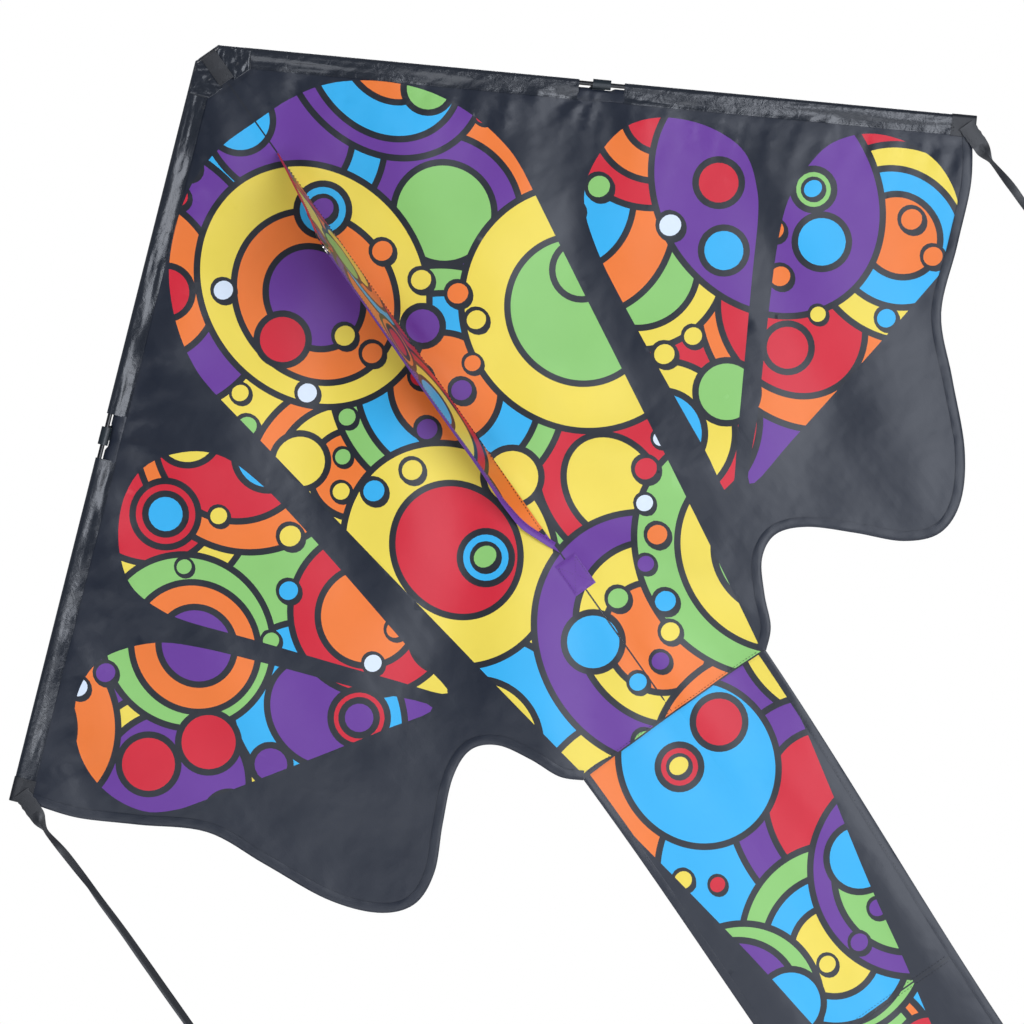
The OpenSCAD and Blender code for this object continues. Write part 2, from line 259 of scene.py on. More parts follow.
def disc_print(seed, left, top, pitch, rows):
    """A free pattern of overlapping discs, printed from the lowest to the topmost.

    Each row names the colours of its large discs from left to right, a pitch apart. Rings,
    solid discs and chains of dots then lie on them as the seed has it."""
    rng = random.Random(seed)
    shapes = []
    taken = []

    def other(*used):
        return rng.choice([hue for hue in PRINT_HUES if hue not in used])

    def free(u, v, r):
        return all(math.hypot(u - a, v - b) > r + c + 3 for a, b, c in taken)

    order = [(i, j, hue) for j, row in enumerate(rows) for i, hue in enumerate(row)]
    rng.shuffle(order)
    for i, j, hue in order:
        u = left + pitch * (i + 0.5 * (j % 2)) + rng.uniform(-0.2, 0.2) * pitch
        v = top + pitch * j + rng.uniform(-0.2, 0.2) * pitch
        r = pitch * rng.uniform(0.62, 0.85)
        tall = rng.uniform(0.95, 1.25)
        shapes.append((hue, u, v, r, r * tall))
        if rng.random() < 0.75:
            hue = other(hue)
            u += rng.uniform(-0.1, 0.1) * r
            v += rng.uniform(-0.12, 0.12) * r
            r *= rng.uniform(0.68, 0.8)
            shapes.append((hue, u, v, r, r * tall))
        if rng.random() < 0.4:
            shapes.append((other(hue), u + rng.uniform(-0.1, 0.1) * r, v, 0.6 * r, 0.6 * r * tall))
    width, height = pitch * len(rows[0]), pitch * len(rows)
    # solid discs and rings, one to every 7000 mm2
    for _ in range(int(width * height / 7000)):
        u = left + rng.uniform(-0.5, 1) * width
        v = top + rng.uniform(-0.1, 1) * height
        r = rng.uniform(18, 34)
        if not free(u, v, r):
            continue
        taken.append((u, v, r))
        hue = other()
        shapes.append((hue, u, v, r))
        if rng.random() < 0.35:
            shapes.append((other(hue), u, v, 0.62 * r))
    # chains of dots along an arc, one to every 11000 mm2
    for _ in range(int(width * height / 11000)):
        u = left + rng.uniform(-0.5, 1) * width
        v = top + rng.uniform(-0.1, 1) * height
        bend = rng.uniform(0, 2 * math.pi)
        turn_by = rng.choice((-1, 1)) * rng.uniform(0.35, 0.5)
        reach = rng.uniform(58, 90)
        for k in range(rng.randint(2, 5)):
            r = rng.uniform(10, 15)
            du = u + reach * math.cos(bend + k * turn_by)
            dv = v + reach * math.sin(bend + k * turn_by)
            if free(du, dv, r):
                taken.append((du, dv, r))
                shapes.append((rng.choice(PRINT_HUES + ("white",)), du, dv, r, r * 1.12))
    return shapes


def layers_of(shapes):
    """Painted layers of shapes, (colour, u, v, radius, other radius): a dark outline, then its fill."""
    out = []
    for colour, u, v, ru, *rest in shapes:
        rv = rest[0] if rest else ru
        if max(ru, rv) < 17:
            # small dots have a heavy outline, thicker below than above
            out.append(("line", u, v, ru, rv))
            out.append((colour, u, v - 0.08 * rv, ru * 0.74, rv * 0.62))
        else:
            out.append(("line", u, v, ru + 3, rv + 3))
            out.append((colour, u, v, ru - 3.5, rv - 3.5))
    return out


def cut_cloth(outline, windows, spacing, lines=()):
    """Triangles of a flat piece of cloth: (points, triangles, colour of each).

    A window is (loop, base colour, shapes), and lines are paths that the triangles' edges follow."""
    points, edges = [], []

    def run(loop, closed=True, keep=None):
        ok = inside(loop, keep) if keep is not None else [True] * len(loop)
        start = len(points)
        points.extend(loop)
        n = len(loop)
        for k in range(n if closed else n - 1):
            if ok[k] or ok[(k + 1) % n]:
                edges.append((start + k, start + (k + 1) % n))

    run(outline)
    painted = []
    for loop, base, shapes in windows:
        run(loop)
        layers = layers_of(shapes)
        painted.append((loop, base, layers))
        for _, u, v, ru, rv in layers:
            ring = oval(u, v, ru, rv)
            if inside(ring, loop).any():
                run(ring, keep=loop)
    for path in lines:
        run(path, closed=False)
    low, high = np.min(outline, axis=0), np.max(outline, axis=0)
    us = np.arange(low[0] + spacing / 2, high[0], spacing)
    vs = np.arange(low[1] + spacing / 2, high[1], spacing)
    lattice = np.array([(u + (spacing / 2 if j % 2 else 0), v) for j, v in enumerate(vs) for u in us])
    points.extend(map(tuple, lattice[inside(lattice, outline)]))
    flat, _, faces, _, _, _ = delaunay_2d_cdt([Vector(p) for p in points], edges, [], 0, 1e-4)
    flat = np.array([tuple(p) for p in flat])
    faces = np.array(faces)
    centres = flat[faces].mean(axis=1)
    sides = flat[faces[:, 1:]] - flat[faces[:, :1]]
    area = np.abs(sides[:, 0, 0] * sides[:, 1, 1] - sides[:, 0, 1] * sides[:, 1, 0])
    keep = inside(centres, outline) & (area > 1e-5)
    faces, centres = faces[keep], centres[keep]
    colour = np.zeros(len(faces), int)
    for loop, base, layers in painted:
        within = inside(centres, loop)
        colour[within] = COLOURS.index(base)
        for name, u, v, ru, rv in layers:
            on = within & (((centres[:, 0] - u) / ru) ** 2 + ((centres[:, 1] - v) / rv) ** 2 < 1)
            colour[on] = COLOURS.index(name)
    return *tidied(flat, faces), colour


def tidied(flat, faces):
    """Points and faces without the points that no face uses."""
    used = np.unique(faces)
    remap = np.zeros(len(flat), int)
    remap[used] = np.arange(len(used))
    return flat[used], remap[faces]


def make_piece(name, vertices, faces, materials, colour=None):
    """A mesh object from vertices in metres, with its faces turned the same way."""
    mesh = bpy.data.meshes.new(name)
    mesh.from_pydata([tuple(v) for v in vertices], [], [tuple(int(i) for i in f) for f in faces])
    for material in materials:
        mesh.materials.append(material)
    if colour is not None:
        mesh.polygons.foreach_set("material_index", [int(c) for c in colour])
    mesh.polygons.foreach_set("use_smooth", [True] * len(mesh.polygons))
    work = bmesh.new()
    work.from_mesh(mesh)
    bmesh.ops.recalc_face_normals(work, faces=work.faces)
    work.to_mesh(mesh)
    work.free()
    mesh.set_sharp_from_angle(angle=math.radians(50))
    piece = bpy.data.objects.new(name, mesh)
    bpy.context.scene.collection.objects.link(piece)
    return piece


def settle(flat, faces, pins, start_y, loose, push, frames=20):
    """Lets flat cloth hang from its pins, and gives its points afterwards.

    loose is the share of its length that is slack, and push the wind's strength."""
    start = [(u * MM, y * MM, -v * MM) for (u, v), y in zip(flat, start_y)]
    low = make_piece("settling", start, faces, [])
    group = low.vertex_groups.new(name="pins")
    for i in np.nonzero(pins)[0]:
        group.add([int(i)], 1.0, "REPLACE")
    cloth = low.modifiers.new("cloth", "CLOTH")
    cloth.settings.quality = 6
    cloth.settings.mass = 0.03
    cloth.settings.tension_stiffness = 40
    cloth.settings.compression_stiffness = 40
    cloth.settings.shear_stiffness = 20
    cloth.settings.bending_stiffness = 0.02
    cloth.settings.air_damping = 2
    cloth.settings.vertex_group_mass = "pins"
    cloth.settings.shrink_min = -loose
    cloth.settings.shrink_max = -loose
    cloth.point_cache.frame_start, cloth.point_cache.frame_end = 1, frames
    cloth.collision_settings.use_collision = False
    field = bpy.data.objects.new("wind", None)
    bpy.context.scene.collection.objects.link(field)
    bpy.context.view_layer.objects.active = field
    field.rotation_euler = (-math.pi / 2, 0, 0)
    with bpy.context.temp_override(object=field, active_object=field):
        bpy.ops.object.forcefield_toggle()
    field.field.type = "WIND"
    field.field.strength = push
    field.field.flow = 0
    field.field.noise = 0
    for k in range(1, frames + 1):
        bpy.context.scene.frame_set(k)
    shown = low.evaluated_get(bpy.context.evaluated_depsgraph_get())
    after = np.array([tuple(v.co) for v in shown.data.vertices]) / MM
    bpy.data.objects.remove(low)
    bpy.data.objects.remove(field)
    bpy.context.scene.frame_set(1)
    return after


class Drape:
    """Moves points of the flat cloth to where the settled cloth has them."""

    def __init__(self, flat, faces, after):
        self.flat = [Vector((u, v, 0)) for u, v in flat]
        self.after = [Vector(p) for p in after]
        self.faces = faces
        self.tree = BVHTree.FromPolygons(self.flat, [tuple(int(i) for i in f) for f in faces])

    def __call__(self, points):
        out = []
        for u, v in points:
            at, _, index, _ = self.tree.find_nearest(Vector((u, v, 0)))
            corner = [int(i) for i in self.faces[index]]
            before = [self.flat[i] for i in corner]
            after = [self.after[i] for i in corner]
            got = barycentric_transform(at, *before, *after)
            out.append((got.x + (u - at.x), got.y, got.z - (v - at.y)))
        return np.array(out)


class Relief:
    """A settled cloth evened out on a square grid, on which any point of the flat cloth is placed."""

    def __init__(self, drape, step, times):
        low = np.min([tuple(p)[:2] for p in drape.flat], axis=0) - 2 * step
        high = np.max([tuple(p)[:2] for p in drape.flat], axis=0) + 2 * step
        us, vs = (np.arange(a, b + step, step) for a, b in zip(low, high))
        grid = np.array([(u, v) for v in vs for u in us])
        moved = drape(grid) - np.column_stack([grid[:, 0], np.zeros(len(grid)), -grid[:, 1]])
        values = moved.reshape(len(vs), len(us), 3)
        for _ in range(times):
            for axis in (0, 1):
                pad = [(int(axis == k),) * 2 for k in (0, 1, 2)]
                rows = np.moveaxis(np.pad(values, pad, mode="edge"), axis, 0)
                values = np.moveaxis((rows[:-2] + 2 * rows[1:-1] + rows[2:]) / 4, 0, axis)
        self.low, self.step, self.values = low, step, values

    def __call__(self, points):
        p = np.asarray(points, float)
        size = np.array(self.values.shape[1::-1])
        at = np.clip((p - self.low) / self.step, 0, size - 1.001)
        i, j = at.astype(int).T
        x, y = (at - np.floor(at)).T[:, :, None]
        v = self.values
        above = v[j, i] * (1 - x) + v[j, i + 1] * x
        below = v[j + 1, i] * (1 - x) + v[j + 1, i + 1] * x
        moved = above * (1 - y) + below * y
        return moved + np.column_stack([p[:, 0], np.zeros(len(p)), -p[:, 1]])


# Window outlines of the right half
BODY_WINDOW = spline([
    (0, 83), (40, 84), (80, 94), (118, 117), (150, 148), (170, 180), (183, 215), (189, 250), (188, 275),
], 5) + [(108, BODY_END + 2), (0, BODY_END + 2)]
INNER_WINDOW = spline([
    (171, 652), (176, 600), (184, 520), (193, 440), (202, 382), (217, 337), (244, 311), (286, 298),
    (322, 309), (350, 335), (367, 366), (371, 392), (362, 420), (346, 446), (300, 500), (215, 602),
], 5, closed=True)
OUTER_WINDOW = spline([
    (192, 655), (238, 602), (300, 530), (350, 475), (385, 446), (428, 430), (458, 432), (486, 448),
    (508, 478), (517, 510), (512, 545), (494, 575), (468, 591), (438, 600), (350, 621), (250, 644),
], 5, closed=True)
# The left windows are set a little closer in than the right ones
WINDOW_SPREAD = {"left": 0.965, "right": 1.03}
WINDOW_ROOT = 175


def spread(loop, side):
    return [(WINDOW_ROOT + (u - WINDOW_ROOT) * WINDOW_SPREAD[side], v) for u, v in loop]


BODY_PRINT = disc_print(11, -150, 120, 150, [
    ("purple", "blue", "purple"),
    ("yellow", "orange", "orange"),
    ("orange", "green", "yellow"),
    ("yellow", "green", "red"),
    ("blue", "purple", "green"),
    ("yellow", "orange", "purple"),
])
WING_HUES = {
    "left": (("orange", "yellow", "yellow"), ("purple", "green", "orange"), ("red", "blue", "yellow")),
    "right": (("orange", "red", "green"), ("yellow", "purple", "orange"), ("red", "orange", "yellow")),
}


def mirrored(shapes):
    return [(shape[0], -shape[1], *shape[2:]) for shape in shapes]


BODY_SHAPES = {"left": mirrored(BODY_PRINT), "right": BODY_PRINT}
WING_SEEDS = {"left": 5, "right": 23}
SEAM_HALF = 0.8
KEEL_TOP, KEEL_FOOT = 120, 605
SAIL_TOP = [(0, 20), edge_point(14, SAIL_TUCK), edge_point(EDGE_LEN - 6, SAIL_TUCK)]
SAIL_OUTLINE = densify(SAIL_TOP + TRAILING + [(0, BODY_END)], 14)
# Rows of points beside the spine, where the wing folds back, for the triangles' edges to follow
BEND_LINES = [[(u, v) for v in range(40, BODY_END - 4, 14)] for u in (SEAM_HALF, 3.5, 7, 10.5, 14)]
# A narrow dark band along the foot is painted shadow: the shade line of the crease where the foot lies over
# the tail
FOOT_SHADE_WIDTH = 1.6
FOOT_SHADE_LINE = [(u, BODY_END - FOOT_SHADE_WIDTH) for u in range(2, 111, 6)]
FITTING_S = 381
coarse_flat, coarse_faces, _ = cut_cloth(SAIL_OUTLINE, [], 13)


def gathers(u, v, side):
    """How far the cloth stands out, in mm, in folds drawn by the sleeve's seam and in its own soft ones."""
    s, depth = along_edge(u, v)
    seed = 7.3 if side == "left" else 41.9
    from_spine = eased((u - 3) / 30)
    broad = 2.4 * noise.noise(Vector((u / 95, v / 150, seed)))
    broad += 1.3 * noise.noise(Vector((u / 45, v / 80, seed)))
    long_wave = noise.noise(Vector((s / 15 + depth / 60, depth / 90, seed)))
    short_wave = noise.noise(Vector((s / 7, depth / 40, seed + 9)))
    near = math.exp(-max(depth - SLEEVE_W, 0) / 34) * (0.35 + 0.65 * eased((depth - SLEEVE_W) / 12))
    fan = noise.noise(Vector((math.atan2(u, v + 4) * 7, 3.1, seed)))
    fan *= math.exp(-math.hypot(u, v) / 140)
    # the spreader fitting pulls a few deeper folds into the cloth below it
    pull = noise.noise(Vector((math.atan2(s - FITTING_S, depth + 6) * 3.2, 0.4, seed)))
    pull *= math.exp(-math.hypot(s - FITTING_S, depth) / 75)
    into = eased((depth - SAIL_TUCK) / 14)
    drawn_up = 2.6 * near * (long_wave + 0.5 * short_wave)
    return from_spine * into * (broad + drawn_up + 5.0 * fan + 6.0 * pull)


SURFACES = {}
SAILS = {}
for side, sign in (("left", -1), ("right", 1)):
    in_depth = np.array([along_edge(u, v)[1] for u, v in coarse_flat])
    held = (in_depth < SAIL_TUCK + 1) | (coarse_flat[:, 0] < 0.5)
    seed = 1.7 if side == "left" else 5.2
    start_y = [1.5 * noise.noise(Vector((u / 70, v / 70, seed))) for u, v in coarse_flat]
    after = settle(coarse_flat, coarse_faces, held, start_y, 0.006, 0.5)
    drape = Relief(Drape(coarse_flat, coarse_faces, after), 6, 8)
    wing_print = disc_print(WING_SEEDS[side], 180, 310, 130, WING_HUES[side])
    windows = [
        (BODY_WINDOW, "yellow", BODY_SHAPES[side]),
        (spread(INNER_WINDOW, side), "yellow", wing_print),
        (spread(OUTER_WINDOW, side), "purple", wing_print),
    ]
    flat, faces, colour = cut_cloth(SAIL_OUTLINE, windows, 11, BEND_LINES + [FOOT_SHADE_LINE])
    middle = flat[faces].mean(axis=1)
    bare_seam = (middle[:, 1] < KEEL_TOP) | (middle[:, 1] > KEEL_FOOT)
    # the bare spine seam is coloured dark, and the band along the foot is painted shadow
    dark_seam_and_foot_shade = (middle[:, 0] < SEAM_HALF) & bare_seam | (middle[:, 1] > BODY_END - FOOT_SHADE_WIDTH)
    colour[dark_seam_and_foot_shade] = COLOURS.index("line")
    shape = drape(flat)
    shape[:, 1] += [gathers(u, v, side) for u, v in flat]
    # the spine's sleeve holds the cloth flat beside the seam
    shape[:, 1] *= [0.1 + 0.9 * eased((u - 4) / 14) for u in flat[:, 0]]
    SURFACES[side] = Drape(flat, faces, shape)
    shape = shape * (sign * MM, MM, MM)
    sail = make_piece(side + "_sail_cloth", shape, faces, list(CLOTH.values()), colour)
    SAILS[side] = sail
    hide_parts(side + "_sail", "spine_strip")


def bend_at_spine(piece):
    """Bakes the piece's transform into its mesh."""
    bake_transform(piece)


for sign, sail in ((-1, SAILS["left"]), (1, SAILS["right"])):
    bend_at_spine(sail)

# ---- Leading edge sleeves ----
# A strip of shiny black nylon taffeta is folded round each spar and sewn down along its inner
# edge. The tight seam gathers it into ropy puckers, which catch bright streaks of light.


def taffeta():
    material, shader, place = new_material("black_taffeta", 0.27, 1.53)
    uneven(material, shader, place, "#181d25", 0.08, 30.0)
    # fine crinkles, about 8 mm apart
    crinkle = add_node(
        material, "ShaderNodeTexNoise",
        {"Vector": place, "Scale": 120.0, "Detail": 3.0, "Roughness": 0.6, "Distortion": 0.8},
    )
    # the ribs of the weave, drawn 1 mm apart so that they show
    ribs = add_node(
        material, "ShaderNodeTexWave", {"Vector": place, "Scale": wave_scale(1)}, bands_direction="Z"
    )
    raised(material, shader, [(crinkle.outputs["Fac"], 0.9, 0.5), (ribs.outputs["Fac"], 0.03, 0.3)])
    shader.inputs["Sheen Weight"].default_value = 0.2
    return material


TAFFETA = taffeta()
NOSE_S = 34
CUTOUT_S, CUTOUT_LEN = 358.5, 45
SPAR_DEPTH = 3.5


def loft(name, rings, materials, closed=True, capped=False):
    """A skin over rings of points in mm. closed joins each ring's ends, capped fills the end rings."""
    count = len(rings[0])
    vertices = np.array(rings, float).reshape(-1, 3) * MM
    faces = []
    for i in range(len(rings) - 1):
        for k in range(count if closed else count - 1):
            a, b = i * count + k, i * count + (k + 1) % count
            faces.append((a, b, b + count, a + count))
    if capped:
        last = len(vertices) - count
        faces += [range(count), range(last, last + count)]
    return make_piece(name, vertices, faces, materials)


def sleeve_section(outer, seam):
    """(depth, half height) across a sleeve: round over the spar, thin at the seam."""
    flat_depths = (20.6, 18.8, 17, 15, 13, 11, 9, 7, 5.2)
    front = [(d, -(seam + (outer - seam) * (1 - eased((d - SPAR_DEPTH) / 16)))) for d in flat_depths]
    turns = [math.radians(a) for a in range(-90, 91, 22)] + [math.pi / 2]
    fold = [(SPAR_DEPTH - SPAR_DEPTH * math.cos(t), outer * math.sin(t)) for t in turns]
    return front + fold + [(d, -h) for d, h in reversed(front)]


def pucker(side, s, depth, back):
    """How far the sleeve's cloth stands out in its puckers, in mm.

    They are lengthwise ropes on the left, and slant on the right."""
    seed = 3.1 + 20 * back
    if side == "left":
        rope = noise.noise(Vector((s / 45, depth / 3.2, seed)))
        rope += 0.4 * noise.noise(Vector((s / 14, depth / 5, seed)))
    else:
        slant = noise.noise(Vector(((s + 1.6 * depth) / 8, depth / 24, seed)))
        rope = 0.45 * slant + noise.noise(Vector((s / 90, depth / 3.6, seed)))
    strength = 0.55 + 0.45 * noise.noise(Vector((s / 80, 1.2, seed)))
    return 1.7 * strength * rope * eased((depth - 1) / 6) * (1 - 0.5 * eased((depth - 16) / 5))


def sleeve_ring(side, s, section, swell=0.0):
    """Points of the sleeve's skin round one place along the edge, in mm, right-hand."""
    seam_y = SURFACES[side]([edge_point(s, SLEEVE_W)])[0][1]
    ring = []
    for k, (depth, height) in enumerate(section):
        back = k > len(section) / 2
        out = pucker(side, s, depth, back) * (1 if back else -1) * (1 - swell)
        u, v = edge_point(s, depth)
        ring.append((u, height + out + seam_y * eased((depth - 6) / 14), -v))
    return ring


SLEEVES = (("upper", NOSE_S - 6, CUTOUT_S), ("lower", CUTOUT_S + CUTOUT_LEN, EDGE_LEN - 2))
for side, sign in (("left", -1), ("right", 1)):
    for part, s0, s1 in SLEEVES:
        count = int((s1 - s0) / 2.4)
        section = sleeve_section(3.5, 0.9)
        rings = [sleeve_ring(side, s0 + (s1 - s0) * k / count, section) for k in range(count + 1)]
        rings = np.array(rings) * (sign, 1, 1)
        sleeve = loft(side + "_" + part + "_sleeve_cloth", rings, [TAFFETA], closed=False)
        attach(sleeve, side + "_wing")
        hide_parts(side + "_" + part + "_sleeve")

# ---- Folded hems and stitching ----
# The trailing edge is turned over and sewn down twice with black polyester thread. The seam
# draws the fold up a little in small puckers along its length.


def thread_of():
    material, shader, place = new_material("polyester_thread", 0.5, 1.55)
    uneven(material, shader, place, "#0c0d10", 0.1, 200.0)
    # the twist of the thread's strands
    inputs = {"Vector": place, "Scale": wave_scale(0.8)}
    twist = add_node(material, "ShaderNodeTexWave", inputs, bands_direction="DIAGONAL")
    raised(material, shader, [(twist.outputs["Fac"], 0.05, 0.5)])
    return material


THREAD = thread_of()


def inward_of(path, loop):
    """Unit steps from each point of a path towards the inside of the loop that it edges."""
    p = np.asarray(path, float)
    ahead = np.gradient(p, axis=0)
    ahead /= np.linalg.norm(ahead, axis=1)[:, None]
    step = np.column_stack([-ahead[:, 1], ahead[:, 0]])
    votes = inside(p + 3 * step, loop).sum() - inside(p - 3 * step, loop).sum()
    return step if votes > 0 else -step


def folded_hem(name, path, loop, width, surface, sign, material, lift=0.8, drawn=0.5):
    """A turned-over edge: a U-shaped strip round the edge of the cloth, puckered by its seam."""
    step = inward_of(path, loop)
    p = np.asarray(path, float)
    across_fold = [(width, -0.9), (0.7 * width, -1.3), (0.35 * width, -1.2), (0.1 * width, -1)]
    across_fold.append((-0.7, 0))
    across_fold += [(d, -h) for d, h in reversed(across_fold[:-1])]
    columns = []
    for d, h in across_fold:
        at = surface([tuple(q) for q in p + step * d])
        wave = [noise.noise(Vector((u / 7, v / 7, 2 + d))) for u, v in p]
        at[:, 1] += lift * h + drawn * np.array(wave) * (h != 0)
        columns.append(at * (sign, 1, 1))
    rings = [[column[k] for column in columns] for k in range(len(p))]
    return loft(name, rings, [material], closed=False)


# A stitch is a lozenge, pointed at both ends where it dips into the cloth
STITCH_FACES = ((0, 2, 1), (3, 1, 2), (0, 4, 5), (3, 5, 4), (0, 1, 4), (3, 4, 1), (0, 5, 2), (3, 2, 5))


def stitching(name, paths, surface, sign, thick=0.9, pitch=3.6, length=2.4, width=0.5):
    """Rows of stitches that go through the cloth and stand proud of it on both faces. The thread
    is drawn 0.5 mm thick, heavier than its 0.25 mm, so that it shows."""
    starts, ends = [], []
    for path in paths:
        p = np.asarray(path, float)
        run = np.concatenate([[0], np.cumsum(np.linalg.norm(np.diff(p, axis=0), axis=1))])
        at = np.arange(pitch / 2, run[-1] - length, pitch)
        for group, shift in ((starts, 0), (ends, length)):
            group += list(zip(np.interp(at + shift, run, p[:, 0]), np.interp(at + shift, run, p[:, 1])))
    a, b = surface(starts) * (sign, 1, 1), surface(ends) * (sign, 1, 1)
    ahead = (b - a) / np.linalg.norm(b - a, axis=1)[:, None]
    side_way = np.column_stack([-ahead[:, 2], np.zeros(len(a)), ahead[:, 0]]) * width / 2
    proud = np.array([0, thick, 0])
    middle = (a + b) / 2
    back_pair = [middle + side_way + proud, middle - side_way + proud]
    front_pair = [middle + side_way - proud, middle - side_way - proud]
    vertices = np.stack([a, *back_pair, b, *front_pair], axis=1)
    faces = [[6 * i + k for k in face] for i in range(len(a)) for face in STITCH_FACES]
    piece = make_piece(name, vertices.reshape(-1, 3) * MM, faces, [THREAD])
    return piece


def shifted(path, loop, by):
    """The same path, moved towards the inside of its loop."""
    return [tuple(q) for q in np.asarray(path, float) + inward_of(path, loop) * by]


HEM_W = 9
HEM_PATH = densify(TRAILING, 4, closed=False)
for side, sign in (("left", -1), ("right", 1)):
    surface = SURFACES[side]
    hem = folded_hem(side + "_trailing_fold", HEM_PATH, SAIL_OUTLINE, HEM_W, surface, sign, CLOTH["black"])
    bend_at_spine(hem)
    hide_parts(side + "_trailing_hem")
    rows = [shifted(HEM_PATH, SAIL_OUTLINE, d) for d in (1.8, HEM_W - 1.5)]
    rows.append([(u, BODY_END - 3.2) for u in range(2, 110, 4)])
    hem_stitches = stitching(side + "_hem_stitches", rows, surface, sign)
    bend_at_spine(hem_stitches)
    seam = [edge_point(s, SLEEVE_W - 1.2) for s in np.arange(NOSE_S, EDGE_LEN - 8, 4.0)]
    seam = [q for q in seam if not CUTOUT_S < along_edge(*q)[0] < CUTOUT_S + CUTOUT_LEN]
    split = sum(1 for q in seam if along_edge(*q)[0] < CUTOUT_S)
    rows = [seam[:split], seam[split:]]
    sleeve_stitches = stitching(side + "_sleeve_stitches", rows, surface, sign, 1.35)
    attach(sleeve_stitches, side + "_wing")

# ---- Spreader openings ----
# Halfway down each leading edge the sleeve stops short, so that the spreader's fitting can grip
# the bare spar. A folded strip of sail cloth faces the raw edge of the opening.
FACING = [(20, -0.8), (18, -1.3), (12, -1.3), (9.6, -1), (8.8, 0)]
FACING += [(depth, -height) for depth, height in reversed(FACING[:-1])]
for side, sign in (("left", -1), ("right", 1)):
    rings = []
    for k in range(24):
        s = CUTOUT_S - 1 + (CUTOUT_LEN + 2) * k / 23
        # the facing reaches almost to the spar, and gives way to the fitting in the middle
        reach = 1.9 if side == "left" or s > CUTOUT_S + CUTOUT_LEN / 2 else 1.1
        dip = 0.4 - (reach + 0.4) * eased((abs(s - CUTOUT_S - CUTOUT_LEN / 2) - 9) / 4)
        ring = []
        for depth, height in FACING:
            u, v = edge_point(s, depth + dip * (depth < 10))
            y = SURFACES[side]([edge_point(s, min(depth, 20))])[0][1]
            ring.append((sign * u, y + height, -v))
        rings.append(ring)
    binding = loft(side + "_opening_facing", rings, [CLOTH["black"]], closed=False)
    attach(binding, side + "_wing")
    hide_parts(side + "_cutout_binding")
    rows = [[edge_point(s, depth) for s in range(360, 403, 4)] for depth in (11, 18.4)]
    rows += [[edge_point(s, depth) for depth in range(10, 20, 3)] for s in (359.5, 402.5)]
    bars = stitching(side + "_opening_stitches", rows, SURFACES[side], sign, 1.7)
    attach(bars, side + "_wing")

# ---- Nose ----
# A flat pocket of doubled taffeta takes the top of each spar, and a strap of black webbing is
# folded over the top of the spine between them and sewn down on both faces.
NOSE_FLAP = 7.4
POCKET_HALF = 4.3
POCKET_FOOT = edge_point(NOSE_S, SLEEVE_W)
POCKET_CORNER = edge_point(NOSE_S, 0)


def pocket_width(v):
    """How far the pocket reaches across: along the leading edge, then back to the sleeve's seam."""
    if v <= POCKET_CORNER[1]:
        return NOSE_HALF + v * EDGE_ACROSS / EDGE_DOWN
    share = (v - POCKET_CORNER[1]) / (POCKET_FOOT[1] - POCKET_CORNER[1])
    return POCKET_CORNER[0] + (POCKET_FOOT[0] - POCKET_CORNER[0]) * share


for side, sign in (("left", -1), ("right", 1)):
    rings = []
    for v in np.linspace(0, POCKET_FOOT[1], 30):
        reach = pocket_width(v)
        crown = 1 - (1 - min(1, (v + 0.3) / 4)) ** 2
        across_pocket = np.linspace(0, 1, 18)
        front, back = [], []
        for t in across_pocket:
            u = NOSE_FLAP + (reach - NOSE_FLAP) * t
            edge = min(1, (reach - u) / 4)
            round_off = math.sqrt(max(0, 1 - (1 - edge) ** 2))
            crease = 0.9 * noise.noise(Vector(((u + v) / 4, (v - u) / 11, 4.4 * sign)))
            height = POCKET_HALF * crown * round_off
            thin = 0.25 + 0.75 * eased((u - 12) / 5)
            front.append((sign * u, -height + crease * edge, -v))
            back.append((sign * u, height * (2 * thin - 1) - crease * edge * thin, -v))
        rings.append(front + back[::-1])
    pocket = loft(side + "_nose_pocket_cloth", rings, [TAFFETA], capped=True)
    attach(pocket, side + "_wing")
    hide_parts(side + "_nose_pocket")


def webbing():
    material, shader, place = new_material("black_webbing", 0.5, 1.53)
    uneven(material, shader, place, "#101319", 0.1, 60.0)
    # ribs across the tape, drawn 1.2 mm apart so that they show
    inputs = {"Vector": place, "Scale": wave_scale(1.2)}
    ribs = add_node(material, "ShaderNodeTexWave", inputs, bands_direction="Z")
    fuzz = add_node(material, "ShaderNodeTexNoise", {"Vector": place, "Scale": 900.0, "Detail": 2.0})
    raised(material, shader, [(ribs.outputs["Fac"], 0.12, 0.6), (fuzz.outputs["Fac"], 0.05, 0.5)])
    shader.inputs["Sheen Weight"].default_value = 0.05
    return material


WEBBING = webbing()


def band(name, path, half_widths, thick, material):
    """A flat tape across the spine, along a path of points (y, v) in mm, with a half width at each."""
    p = np.asarray(path, float)
    ahead = np.gradient(p, axis=0)
    ahead /= np.linalg.norm(ahead, axis=1)[:, None]
    out = np.column_stack([ahead[:, 1], -ahead[:, 0]]) * thick / 2
    rings = []
    for (y, v), (dy, dv), half in zip(p, out, half_widths):
        section = [(-half, -0.6), (-half + 0.5, -1), (half - 0.5, -1), (half, -0.6)]
        section += [(half, 0.6), (half - 0.5, 1), (-half + 0.5, 1), (-half, 0.6)]
        rings.append([(x, y + dy * k, -(v + dv * k)) for x, k in section])
    return loft(name, rings, [material], capped=True)


strap_path = [(-5.3, v) for v in np.arange(35, 3, -2.0)]
over_the_top = np.linspace(0.1, math.pi - 0.1, 14)
strap_path += [(1.6 - 6.9 * math.cos(t), 3.6 - 3.4 * math.sin(t)) for t in over_the_top]
strap_path += [(8.4, v) for v in np.arange(4, 36, 2.0)]
strap_widths = [8.3 - 3.1 * eased((y + 2) / 8) for y, _ in strap_path]
strap_path = [(y + 0.25 * noise.noise(Vector((v / 6, y, 1))), v) for y, v in strap_path]
strap = band("nose_strap", strap_path, strap_widths, 0.9, WEBBING)
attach(strap, "centre")
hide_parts("nose_cap")


